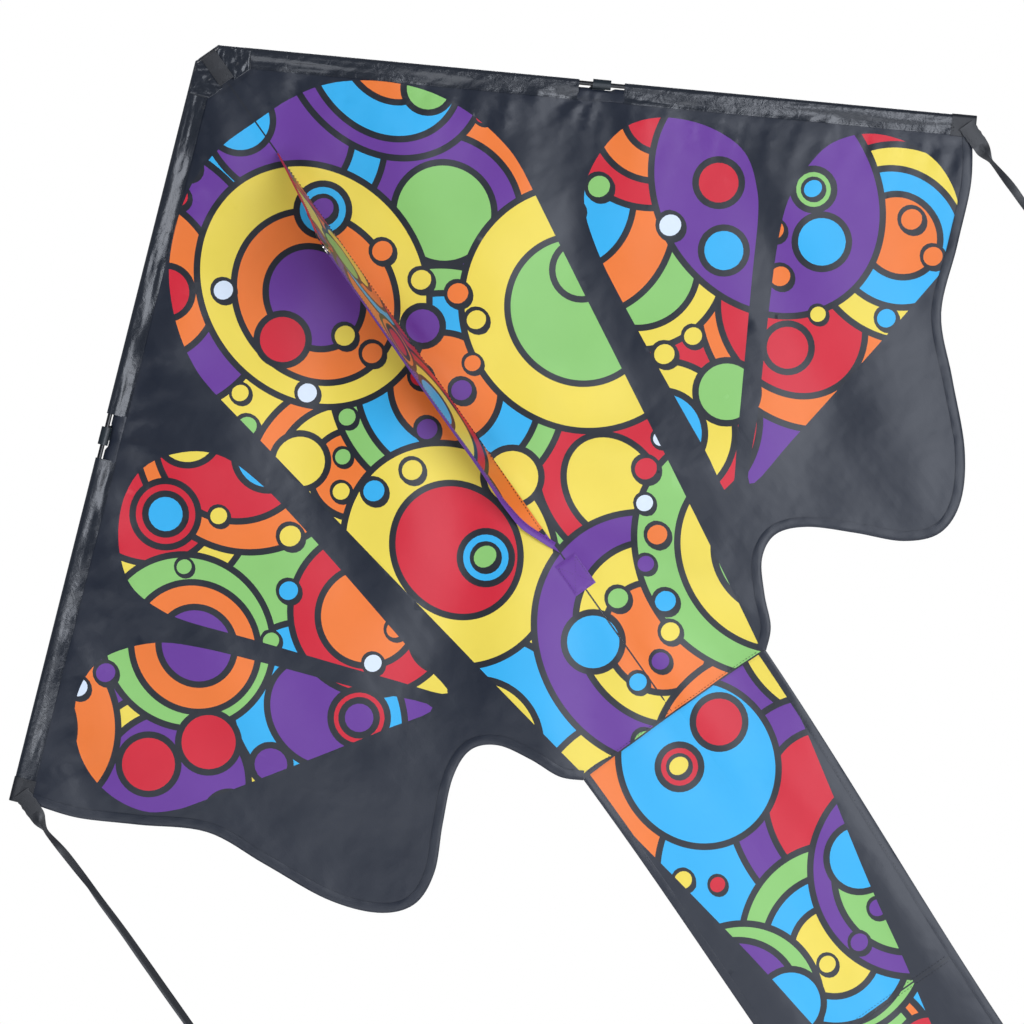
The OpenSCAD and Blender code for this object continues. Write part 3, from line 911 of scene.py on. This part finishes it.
def at_depth(y):
    """A surface for stitches on something flat at one depth."""
    return lambda points: np.array([(u, y, -v) for u, v in points])


strap_rows = [[(x, v) for v in range(4, 35, 2)] for x in (-6.8, 6.8)]
strap_rows += [[(-6.5, v), (6.5, v)] for v in (33, 29)]
strap_stitches = stitching("nose_strap_stitches", strap_rows, at_depth(-5.3), 1, 0.75)
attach(strap_stitches, "centre")

# ---- Wing tips ----
# A tape is folded over the end of each sleeve and sewn down, so that the spar can't slide out.
# The streamer's own tape starts under it, and hangs from the trailing edge.
TAB_LEN = 24
for side, sign in (("left", -1), ("right", 1)):
    section = sleeve_section(4.3, 1.9)
    section = [(d + (d - 10) * 0.07, h) for d, h in section]
    rings = []
    for k in range(14):
        s = EDGE_LEN - TAB_LEN + (TAB_LEN - 1) * k / 13
        rings.append(sleeve_ring(side, s, section, 0.6))
    for shrink, ahead in ((0.9, 0.2), (0.6, 0.9), (0.15, 1.2)):
        ring = []
        for d, h in section:
            u, v = edge_point(EDGE_LEN - 0.6 + ahead, 10 + (d - 10) * (0.97 + 0.03 * shrink))
            ring.append((u, h * shrink, -v))
        rings.append(ring)
    tab = loft(side + "_tip_cover", np.array(rings) * (sign, 1, 1), [WEBBING], capped=False)
    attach(tab, side + "_wing")
    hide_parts(side + "_tip_tab")
    rows = [[edge_point(EDGE_LEN - TAB_LEN + 2 + lift, d) for d in range(3, 21, 2)] for lift in (0, 17)]
    tab_stitches = stitching(side + "_tip_stitches", rows, at_depth(0), sign, 4.6)
    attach(tab_stitches, side + "_wing")

# ---- Streamers ----
# A narrow ribbon of black ripstop hangs from each wing tip. It is gathered to a point just
# below the trailing edge and twists as it hangs, so that it is seen partly on edge.
RIBBON_W = 16
RIBBON_LEN = 879
RIBBON_TOP = 515
RIBBON_X = 571
RIBBON_Y = -5.1
TAB_TOP = 491


def ribbon_cloth():
    material, shader, place = new_material("black_ribbon", 0.45, 1.53)
    uneven(material, shader, place, "#17191d", 0.1, 30.0)
    # the ribs across a grosgrain ribbon, drawn 1.5 mm apart so that they show
    inputs = {"Vector": place, "Scale": wave_scale(1.5)}
    ribs = add_node(material, "ShaderNodeTexWave", inputs, bands_direction="Z")
    raised(material, shader, [(ribs.outputs["Fac"], 0.08, 0.5)])
    shader.inputs["Sheen Weight"].default_value = 0.25
    return material


RIBBON = ribbon_cloth()


def ribbon_ring(side, v):
    """Points across the ribbon at a height, folded into a V and turned about its own length."""
    drop = v - RIBBON_TOP
    seed = 2.5 if side == "left" else 8.5
    fold = math.radians(76) * eased((drop + 2) / 24) * (1 - 0.8 * eased((drop - 26) / 90))
    twist = math.radians(52) * eased((drop - 10) / 50)
    twist += math.radians(16) * noise.noise(Vector((v / 190, 0.5, seed)))
    if side == "left":
        sway = 3 * eased(drop / 26) - 4 * eased((drop - 20) / 140)
        sway += 4 * noise.noise(Vector((v / 300, 2.2, seed)))
    else:
        sway = 3 * eased(drop / 60) + 5 * noise.noise(Vector((v / 260, 2.2, seed)))
    sway *= eased(drop / 12)
    ring = []
    for t in np.linspace(-1, 1, 9):
        flat_across = t * RIBBON_W / 2 * math.cos(fold)
        deep = abs(t) * RIBBON_W / 2 * math.sin(fold) - RIBBON_W / 5 * math.sin(fold)
        curl = 0.5 * noise.noise(Vector((t, v / 22, seed))) * eased(drop / 30)
        x = RIBBON_X + sway - 3 * eased(drop / 60) * (side == "left")
        ring.append((
            x + flat_across * math.cos(twist) - deep * math.sin(twist),
            RIBBON_Y + flat_across * math.sin(twist) + deep * math.cos(twist) + curl,
            -v,
        ))
    return ring


DOUBLED = ((-1, -5.2), (-0.5, -5.8), (0.5, -5.8), (1, -5.2), (1, -4.8), (-1, -4.8))
for side, sign in (("left", -1), ("right", 1)):
    heights = [RIBBON_TOP + 2.5 * k for k in range(40)]
    heights += list(np.linspace(heights[-1] + 5, RIBBON_TOP + RIBBON_LEN, 110))
    rings = np.array([ribbon_ring(side, v) for v in heights]) * (sign, 1, 1)
    ribbon = loft(side + "_streamer_ribbon", rings, [RIBBON], closed=False)
    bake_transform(ribbon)
    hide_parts(side + "_streamer")
    # the end of the ribbon that is sewn to the tip, doubled over
    rings = []
    for v in np.linspace(TAB_TOP, RIBBON_TOP, 8):
        half = RIBBON_W / 2 + 0.4 * math.sin(v)
        rings.append([(sign * (RIBBON_X + t * half), y, -v) for t, y in DOUBLED])
    loop = loft(side + "_streamer_end", rings, [RIBBON], capped=True)
    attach(loop, side + "_wing")
    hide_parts(side + "_streamer_loop")
    corners = [(RIBBON_X - 6, 496), (RIBBON_X + 6, 496), (RIBBON_X + 6, 508), (RIBBON_X - 6, 508)]
    box = densify(corners, 2) + corners[:1]
    loop_stitches = stitching(
        side + "_streamer_stitches", [box, [corners[0], corners[2]], [corners[1], corners[3]]],
        at_depth(RIBBON_Y - 0.2), sign, 0.8, 3.0, 2.0,
    )
    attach(loop_stitches, side + "_wing")

# ---- Spine sleeve ----
# The spine runs behind the seam in a sleeve of black sail cloth, sewn down on both its sides.
# A square of cloth with crossed stitching closes its foot on the front.
SPINE_DEPTH = 4.3
SPINE_FOLD = 3.5
rings = []
for v in np.arange(14, 633, 3.0):
    ring = []
    for k in range(-10, 11):
        if abs(k) > 6:
            x, y = (abs(k) - 6) * 0.75 + SPINE_FOLD - 0.4, 0.9 + 1.6 * (1 - (abs(k) - 6) / 4) ** 2
            x = math.copysign(x, k)
        else:
            t = math.radians(128) * k / 6
            x, y = SPINE_FOLD * math.sin(t), SPINE_DEPTH + SPINE_FOLD * math.cos(t)
        ruck = 0.3 * noise.noise(Vector((k / 4, v / 9, 6.2)))
        ring.append((x + ruck * (k > 0) - ruck * (k < 0), y + ruck, -v))
    rings.append(ring)
spine_cloth = loft("spine_sleeve_cloth", rings, [CLOTH["black"]], closed=False)
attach(spine_cloth, "centre")
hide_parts("spine_sleeve")
spine_rows = [[(x, v) for v in range(16, 632, 4)] for x in (-5.4, 5.4)]
spine_stitches = stitching("spine_sleeve_stitches", spine_rows, at_depth(1.5), 1, 0.5)
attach(spine_stitches, "centre")

PATCH_TOP, PATCH_FOOT, PATCH_HALF = 613, 649, 12
PATCH_LOOP = [(0, PATCH_TOP), (PATCH_HALF, PATCH_TOP), (PATCH_HALF, PATCH_FOOT), (0, PATCH_FOOT)]
for side, sign in (("left", -1), ("right", 1)):
    surface = SURFACES[side]
    patch_flat, patch_faces, _ = cut_cloth(densify(PATCH_LOOP, 3), [], 4)
    at = surface([tuple(q) for q in patch_flat])
    rim = [eased(min(PATCH_HALF - u, v - PATCH_TOP, PATCH_FOOT - v) / 1.5) for u, v in patch_flat]
    at[:, 1] -= 0.35 + 0.8 * np.array(rim)
    patch = make_piece(side + "_spine_patch", at * (sign * MM, MM, MM), patch_faces, [CLOTH["purple"]])
    bend_at_spine(patch)
    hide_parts("spine_pocket_patch")
    frame_rows = [[(0.5, v), (PATCH_HALF - 1.5, v)] for v in (PATCH_TOP + 2, PATCH_FOOT - 2)]
    frame_rows += [[(PATCH_HALF - 1.5, PATCH_TOP + 2), (PATCH_HALF - 1.5, PATCH_FOOT - 2)]]
    centre_v = (PATCH_TOP + PATCH_FOOT) / 2
    frame_rows += [[(0.5, centre_v), (PATCH_HALF - 2, v)] for v in (PATCH_TOP + 3, PATCH_FOOT - 3)]
    patch_stitches = stitching(side + "_patch_stitches", frame_rows, surface, sign, 1.6, 2.8, 2.0)
    bend_at_spine(patch_stitches)

# ---- Keel ----
# A deep triangle of printed cloth hangs from the front of the spine seam and leans to the left.
# Its lower edge is hemmed, and a patch holds the nickel-plated tow eyelet at its point.
KEEL_HINGE_Y = -1.6
KEEL_APEX = (160, 242)
KEEL_NECK = (156, 233)
KEEL_OUTLINE = densify([(0.4, KEEL_TOP), KEEL_NECK, KEEL_APEX, (0.4, KEEL_FOOT)], 9)
# How far to the left the free edge hangs, by height in mm
KEEL_LEAN = (
    (120, 0), (145, 3), (190, 9), (225, 15.6), (242, 16.7), (300, 16.4), (400, 17.5),
    (500, 17.5), (530, 19), (555, 18), (575, 14.5), (590, 8.5), (605, 0.3),
)


def keel_depth(v):
    if v < KEEL_NECK[1]:
        return max(0.5, KEEL_NECK[0] * (v - KEEL_TOP) / (KEEL_NECK[1] - KEEL_TOP))
    return max(0.5, KEEL_APEX[0] * (KEEL_FOOT - v) / (KEEL_FOOT - KEEL_APEX[1]))


def keel_surface(points, off=0.0):
    """Where points of the flat keel, (depth, height), hang; off moves them to the cloth's right."""
    out = []
    for depth, v in points:
        reach = np.interp(v, *zip(*KEEL_LEAN))
        full = max(keel_depth(v), 4)
        lean = math.asin(min(0.93, reach / full))
        near_tow = math.exp(-((depth - 148) ** 2 + (v - 238) ** 2) / 900)
        slack = math.sin(math.pi * min(1, depth / full)) * min(1, full / 60) * (1 - near_tow)
        ripple = 1.6 * slack * noise.noise(Vector((depth / 45, v / 60, 9.7)))
        shift = off + ripple
        out.append((
            -depth * math.sin(lean) + shift * math.cos(lean),
            KEEL_HINGE_Y - depth * math.cos(lean) - shift * math.sin(lean),
            -v,
        ))
    return np.array(out)


KEEL_PRINT = disc_print(31, 0, 150, 95, [
    ("red", "yellow"),
    ("blue", "orange"),
    ("yellow", "purple"),
    ("red", "purple"),
    ("purple", "yellow"),
    ("green", "orange"),
])
keel_flat, keel_faces, keel_colour = cut_cloth(KEEL_OUTLINE, [(KEEL_OUTLINE, "purple", KEEL_PRINT)], 9)
keel_shape = keel_surface(keel_flat) * MM
keel = make_piece("keel_cloth", keel_shape, keel_faces, list(CLOTH.values()), keel_colour)
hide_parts("keel_panel")


def bend_at_keel_foot(piece):
    """Bakes the piece's transform into its mesh. The keel's foot is sewn to the seam."""
    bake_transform(piece)


bend_at_keel_foot(keel)


def keel_strip(name, path, width, material):
    """A tape folded over an edge of the keel."""
    step = inward_of(path, KEEL_OUTLINE)
    p = np.asarray(path, float)
    across_fold = [(width, 0.4), (width * 0.6, 0.8), (0.5, 0.7), (-0.5, 0)]
    across_fold += [(d, -off) for d, off in reversed(across_fold[:-1])]
    columns = [keel_surface([tuple(q) for q in p + step * d], off) for d, off in across_fold]
    rings = [[column[k] for column in columns] for k in range(len(p))]
    return loft(name, rings, [material], closed=False)


lower_edge = densify([(KEEL_APEX[0] - 2, KEEL_APEX[1] + 3), (4, KEEL_FOOT - 8)], 5, closed=False)
upper_edge = densify([(3, KEEL_TOP + 2), (KEEL_NECK[0] - 1, KEEL_NECK[1] - 1)], 5, closed=False)
keel_tape = keel_strip("keel_tape", lower_edge, 7, CLOTH["purple"])
keel_hem = keel_strip("keel_upper_hem", upper_edge, 5, CLOTH["red"])
keel_rows = [shifted(lower_edge, KEEL_OUTLINE, 5.5), shifted(upper_edge, KEEL_OUTLINE, 3.8)]
keel_rows.append([(3, v) for v in range(KEEL_TOP + 8, KEEL_FOOT - 8, 5)])
keel_stitch_ends = []
for path in keel_rows:
    p = np.asarray(path, float)
    run = np.concatenate([[0], np.cumsum(np.linalg.norm(np.diff(p, axis=0), axis=1))])
    for at in np.arange(2, run[-1] - 3, 3.6):
        ends = [(np.interp(at + k, run, p[:, 0]), np.interp(at + k, run, p[:, 1])) for k in (0, 2.4)]
        keel_stitch_ends.append(ends)
vertices, faces = [], []
for i, (a, b) in enumerate(keel_stitch_ends):
    half = np.array([-(b[1] - a[1]), b[0] - a[0]]) * 0.1
    mid = ((a[0] + b[0]) / 2, (a[1] + b[1]) / 2)
    sides = [(mid[0] + half[0], mid[1] + half[1]), (mid[0] - half[0], mid[1] - half[1])]
    ends = keel_surface([a, b])
    vertices += [ends[0], *keel_surface(sides, 1.1), ends[1], *keel_surface(sides, -1.1)]
    faces += [[6 * i + k for k in face] for face in STITCH_FACES]
keel_stitches = make_piece("keel_stitches", np.array(vertices) * MM, faces, [THREAD])
for piece, node in ((keel_tape, "keel_edge_tape"), (keel_hem, None), (keel_stitches, None)):
    bend_at_keel_foot(piece)
    if node:
        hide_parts(node)

# The tow patch is a disc of black cloth on each face, with a slightly wavy rim where it is zigzag stitched;
# the stitches are not drawn
TOW_PATCH = (139, 230)
patch_rings = []
rim = [(6.6, 0.5), (8.5, 0.75), (10.4, 0.7), (11, 0.2)]
turns = np.linspace(0, 2 * math.pi, 49)[:-1]
for r, off in rim + [(r, -off) for r, off in reversed(rim)]:
    circle = []
    for t in turns:
        wavy = r + 0.15 * math.cos(12 * t)
        circle.append((TOW_PATCH[0] + wavy * math.cos(t), TOW_PATCH[1] + wavy * math.sin(t)))
    patch_rings.append(keel_surface(circle, off))
# its middle is pressed flat under the eyelet
for off in (-0.45, 0.45):
    circle = [(TOW_PATCH[0] + 0.4 * math.cos(t), TOW_PATCH[1] + 0.4 * math.sin(t)) for t in turns]
    disc = keel_surface(circle, off)
    patch_rings = [disc] + patch_rings if off > 0 else patch_rings + [disc]
tow_cloth = loft("tow_patch_cloth", patch_rings, [CLOTH["black"]])
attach(tow_cloth, "keel")
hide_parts("tow_patch")

# ---- Tail ----
# A long tapering tail of printed cloth between black borders is sewn behind the foot of the
# body, hemmed at its sides and its end. It hangs slack and sways slightly to the left.
TAIL_TOP, TAIL_END = 789, 2286
TAIL_HALF, TAIL_END_HALF = 110, 76
TAIL_PARTS = (1041.5, 1541.5)
TAIL_HEM = 16


def tail_half(v):
    return TAIL_HALF + (TAIL_END_HALF - TAIL_HALF) * (v - TAIL_TOP) / (TAIL_END - TAIL_TOP)


def leaf():
    """The outline of the tail's printed leaf, which narrows to a point below the body."""
    half = spline([
        (109, TAIL_TOP), (108, 815), (104, 850), (99, 884), (88, 940), (68, 1044), (55, 1128),
        (44, 1185), (31, 1255), (14, 1340), (0, 1395),
    ], 4)
    return half + [(-u, v) for u, v in reversed(half[:-1])]


TAIL_SIDE = [(tail_half(v), v) for v in np.linspace(TAIL_TOP, TAIL_END, 110)]
TAIL_OUTLINE = densify(TAIL_SIDE + [(-u, v) for u, v in reversed(TAIL_SIDE)], 14)
STRIP_HALF = 6.5
# a seam joins two lengths of the tail's cloth
TAIL_SEAM, SEAM_WIDE = 1150, 1.6
tail_lines = []
for x in (-STRIP_HALF, STRIP_HALF):
    heights = np.arange(TAIL_TOP + 3, TAIL_PARTS[0], 12)
    tail_lines.append([(x, v) for v in heights] + [(x, TAIL_PARTS[0])])
for v in TAIL_PARTS + (TAIL_SEAM, TAIL_SEAM + SEAM_WIDE):
    tail_lines.append([(u, v) for u in np.linspace(-tail_half(v), tail_half(v), 26)])
TAIL_PRINT = disc_print(47, -110, 830, 120, [
    ("red", "blue", "purple"),
    ("blue", "purple", "blue"),
    ("green", "green", "purple"),
    ("orange", "yellow", "blue"),
    ("yellow", "red", "green"),
])
LEAF = leaf()
tail_flat, tail_faces, tail_colour = cut_cloth(TAIL_OUTLINE, [(LEAF, "blue", TAIL_PRINT)], 13, tail_lines)
coarse_tail, coarse_tail_faces, _ = cut_cloth(densify(TAIL_OUTLINE, 22), [], 22)
start_y = [3 * noise.noise(Vector((u / 90, v / 120, 3.9))) for u, v in coarse_tail]
hung = settle(coarse_tail, coarse_tail_faces, coarse_tail[:, 1] < TAIL_TOP + 2, start_y, 0.005, 0.3, 24)
tail_drape = Relief(Drape(coarse_tail, coarse_tail_faces, hung), 9, 8)


def tail_sway(v):
    return -12 * eased((v - 800) / 450) + 6 * eased((v - 1300) / 700)


def seam_depth(points):
    """How deep the foot of the sail lies in front of points of the tail."""
    u = [abs(p[0]) for p in points]
    left = SURFACES["left"]([(x, BODY_END - 3) for x in u])[:, 1]
    right = SURFACES["right"]([(x, BODY_END - 3) for x in u])[:, 1]
    return np.where(np.array([p[0] for p in points]) < 0, left, right)


def tail_surface(points):
    at = tail_drape(points)
    v = np.array([p[1] for p in points])
    u = np.array([p[0] for p in points])
    held = np.array([1 - eased((x - TAIL_TOP - 14) / 130) for x in v])
    long_folds = []
    for x, y in zip(u, v):
        wide = 3.2 * noise.noise(Vector((x / 55, y / 420, 5.1)))
        narrow = 1.6 * noise.noise(Vector((x / 28, y / 160, 7.7)))
        long_folds.append((wide + narrow) * eased((y - TAIL_TOP) / 160))
    limit = np.clip(at[:, 1], -14, 14)
    at[:, 1] = 1.3 + held * seam_depth(points) + (1 - held) * (limit + np.array(long_folds))
    at[:, 0] = np.clip(at[:, 0], -118, 118) + [tail_sway(y) for y in v]
    at[:, 2] = np.maximum(at[:, 2], -(TAIL_END + 2))
    return at


tail_shape = tail_surface([tuple(p) for p in tail_flat])
TAIL_SURFACE = Drape(tail_flat, tail_faces, tail_shape)
tail_middles = tail_flat[tail_faces].mean(axis=1)
seam_rows = (tail_middles[:, 1] > TAIL_SEAM) & (tail_middles[:, 1] < TAIL_SEAM + SEAM_WIDE)
tail_colour[seam_rows] = COLOURS.index("line")


def tail_zone(points):
    """Which piece of the tail points are on."""
    u, v = np.asarray(points, float).T
    names = np.full(len(u), "tail_end_cloth", object)
    names[v < TAIL_PARTS[1]] = "tail_middle_cloth"
    top = v < TAIL_PARTS[0]
    names[top & (u < 0)] = "left_tail_top_cloth"
    names[top & (u >= 0)] = "right_tail_top_cloth"
    names[top & (abs(u) < STRIP_HALF)] = "tail_strip_cloth"
    return names


def bend_in_tail(piece, zone):
    """Hangs the tail's top strip from the centre body, and bakes the other pieces' transforms into their
    meshes.
    """
    low = {"left_tail_top_cloth": "left_wing", "right_tail_top_cloth": "right_wing"}
    if zone in low:
        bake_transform(piece)
    elif zone == "tail_strip_cloth":
        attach(piece, "centre")
    else:
        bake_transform(piece)


TAIL_NODES = {
    "left_tail_top_cloth": "left_tail_top", "right_tail_top_cloth": "right_tail_top",
    "tail_strip_cloth": "tail_top_strip", "tail_middle_cloth": "tail_middle", "tail_end_cloth": "tail_end",
}
zones = tail_zone(tail_middles)
for zone, node in TAIL_NODES.items():
    mine = zones == zone
    shape, faces = tidied(tail_shape, tail_faces[mine])
    cloth = make_piece(zone, shape * MM, faces, list(CLOTH.values()), tail_colour[mine])
    bend_in_tail(cloth, zone)
    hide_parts(node)

# Side hems and their stitches, one length for each piece of the tail
for side, sign in (("left", -1), ("right", 1)):
    lengths = (
        (TAIL_TOP, TAIL_PARTS[0], side + "_tail_top_cloth"),
        (TAIL_PARTS[0], TAIL_PARTS[1], "tail_middle_cloth"),
        (TAIL_PARTS[1], TAIL_END - 1, "tail_end_cloth"),
    )
    for v0, v1, zone in lengths:
        path = [(sign * tail_half(v), v) for v in np.linspace(v0, v1, int((v1 - v0) / 6))]
        label = side + "_" + zone.replace("_cloth", "").replace(side + "_", "")
        hem = folded_hem(
            label + "_hem", path, TAIL_OUTLINE, 7.5, TAIL_SURFACE, 1, CLOTH["black"], 0.45, 0.25
        )
        rows = [shifted(path, TAIL_OUTLINE, 6)]
        rows = stitching(label + "_stitches", rows, TAIL_SURFACE, 1, 0.9)
        for piece in (hem, rows):
            bend_in_tail(piece, zone)
end_path = [(u, TAIL_END) for u in np.linspace(TAIL_END_HALF, -TAIL_END_HALF, 40)]
end_hem = folded_hem(
    "tail_foot_hem", end_path, TAIL_OUTLINE, TAIL_HEM, TAIL_SURFACE, 1, CLOTH["black"], 0.6, 0.3
)
foot_path = shifted(end_path, TAIL_OUTLINE, TAIL_HEM - 2)
foot_rows = stitching("tail_foot_stitches", [foot_path], TAIL_SURFACE, 1, 1.0)
seam_reach = tail_half(TAIL_SEAM) - 8
seam_places = np.linspace(-seam_reach, seam_reach, 50)
seam_path = [[(u, TAIL_SEAM + d) for u in seam_places] for d in (-2, 3.6)]
seam_stitches = stitching("tail_seam_stitches", seam_path, TAIL_SURFACE, 1, 0.8)
ends = (end_hem, "tail_end_cloth"), (foot_rows, "tail_end_cloth"), (seam_stitches, "tail_middle_cloth")
for piece, zone in ends:
    bend_in_tail(piece, zone)
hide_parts("tail_end_hem")

# ---- Rods, fittings and caps ----
# The rods are pultruded fibreglass with a black resin skin. The fittings and end caps are
# moulded from soft black vinyl, and the tow eyelet is a nickel-plated brass ring.


def rod_skin():
    material, shader, place = new_material("pultruded_rod", 0.32, 1.55)
    uneven(material, shader, place, "#141517", 0.1, 40.0)
    # fibres run along the rod and leave faint lines
    fibre = add_node(material, "ShaderNodeTexNoise", {"Vector": place, "Scale": 700.0, "Detail": 2.0})
    raised(material, shader, [(fibre.outputs["Fac"], 0.04, 0.4)])
    return material


def vinyl_skin():
    material, shader, place = new_material("moulded_vinyl", 0.42, 1.52)
    uneven(material, shader, place, "#1a2328", 0.08, 90.0)
    # the mould's fine matt grain, drawn 1 mm across so that it shows
    grain = add_node(material, "ShaderNodeTexVoronoi", {"Vector": place, "Scale": 1000.0})
    raised(material, shader, [(grain.outputs["Distance"], 0.06, 0.4)])
    return material


def plated_nickel():
    material, shader, place = new_material("nickel_plate", 0.22, metallic=1.0)
    uneven(material, shader, place, "#cfcac0", 0.05, 300.0)
    # handling leaves fine scuffs
    scuff = add_node(material, "ShaderNodeTexNoise", {"Vector": place, "Scale": 1500.0, "Detail": 4.0})
    raised(material, shader, [(scuff.outputs["Fac"], 0.03, 0.3)])
    return material


ROD, VINYL, NICKEL = rod_skin(), vinyl_skin(), plated_nickel()
FINISHES = {"spine_rod": ROD, "spreader_rod": ROD, "spine_end_cap": VINYL, "tow_eyelet": NICKEL}
for side in ("left", "right"):
    FINISHES[side + "_leading_spar"] = ROD
    for node in ("_spar_end_cap", "_spreader_fitting", "_spreader_cap"):
        FINISHES[side + node] = VINYL
for name, finish in FINISHES.items():
    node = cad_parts[name]
    node.data.materials.clear()
    node.data.materials.append(finish)

# ---- Floor and light ----
# A pale floor under the hanging kite, a white surround, and large soft lamps: the main one in
# front on the right, a weak one on the left, one below, one above, and one behind the cloth.
floor_mesh = bpy.data.meshes.new("floor")
floor_mesh.from_pydata([(-6, -6, -2.45), (6, -6, -2.45), (6, 6, -2.45), (-6, 6, -2.45)], [], [(0, 1, 2, 3)])
floor = bpy.data.objects.new("floor", floor_mesh)
bpy.context.scene.collection.objects.link(floor)
floor_paint, floor_shader, _ = new_material("floor_paint", 0.8)
floor_shader.inputs["Base Color"].default_value = linear("#f2f2f0")
# it glows a little, as a floor does that large lamps outside the scene light
floor_shader.inputs["Emission Color"].default_value = linear("#f2f2f0")
floor_shader.inputs["Emission Strength"].default_value = 0.4
floor_mesh.materials.append(floor_paint)
world = bpy.data.worlds.new("surround")
world.use_nodes = True
backdrop = world.node_tree.nodes["Background"]
# the kite is lit by a dim, cool surround, and the camera sees a white one
sky = [0.2 * c for c in linear("#d9e4ff")[:3]] + [1]
seen = world.node_tree.nodes.new("ShaderNodeLightPath").outputs["Is Camera Ray"]
shown = world.node_tree.nodes.new("ShaderNodeMix")
shown.data_type = "RGBA"
shown.inputs["A"].default_value = sky
shown.inputs["B"].default_value = linear("#ffffff")
world.node_tree.links.new(seen, shown.inputs["Factor"])
world.node_tree.links.new(shown.outputs["Result"], backdrop.inputs["Color"])
bpy.context.scene.world = world
bpy.context.scene.view_settings.view_transform = "Standard"


def lamp(name, place, aim, size, watts, tint="#ffffff"):
    data = bpy.data.lights.new(name, "AREA")
    data.color = linear(tint)[:3]
    data.size = size
    data.energy = watts
    light = bpy.data.objects.new(name, data)
    bpy.context.scene.collection.objects.link(light)
    light.location = place
    light.rotation_euler = (Vector(aim) - Vector(place)).to_track_quat("-Z", "Y").to_euler()
    return light


lamp("key_lamp", (1.1, -2.8, -1.25), (0.2, 0, -0.6), 1.8, 66, "#f0f5ff")
lamp("left_lamp", (-1.2, -2.4, -1.4), (-0.1, 0, -0.5), 1.6, 20, "#f0f5ff")
lamp("low_lamp", (0.0, -1.4, -3.0), (0, 0, -0.6), 1.4, 46)
lamp("top_lamp", (-0.15, -2.0, 2.6), (0, 0, -0.4), 1.2, 44)
lamp("back_lamp", (0.8, 3.0, 0.8), (0, 0, -0.8), 2.0, 40)
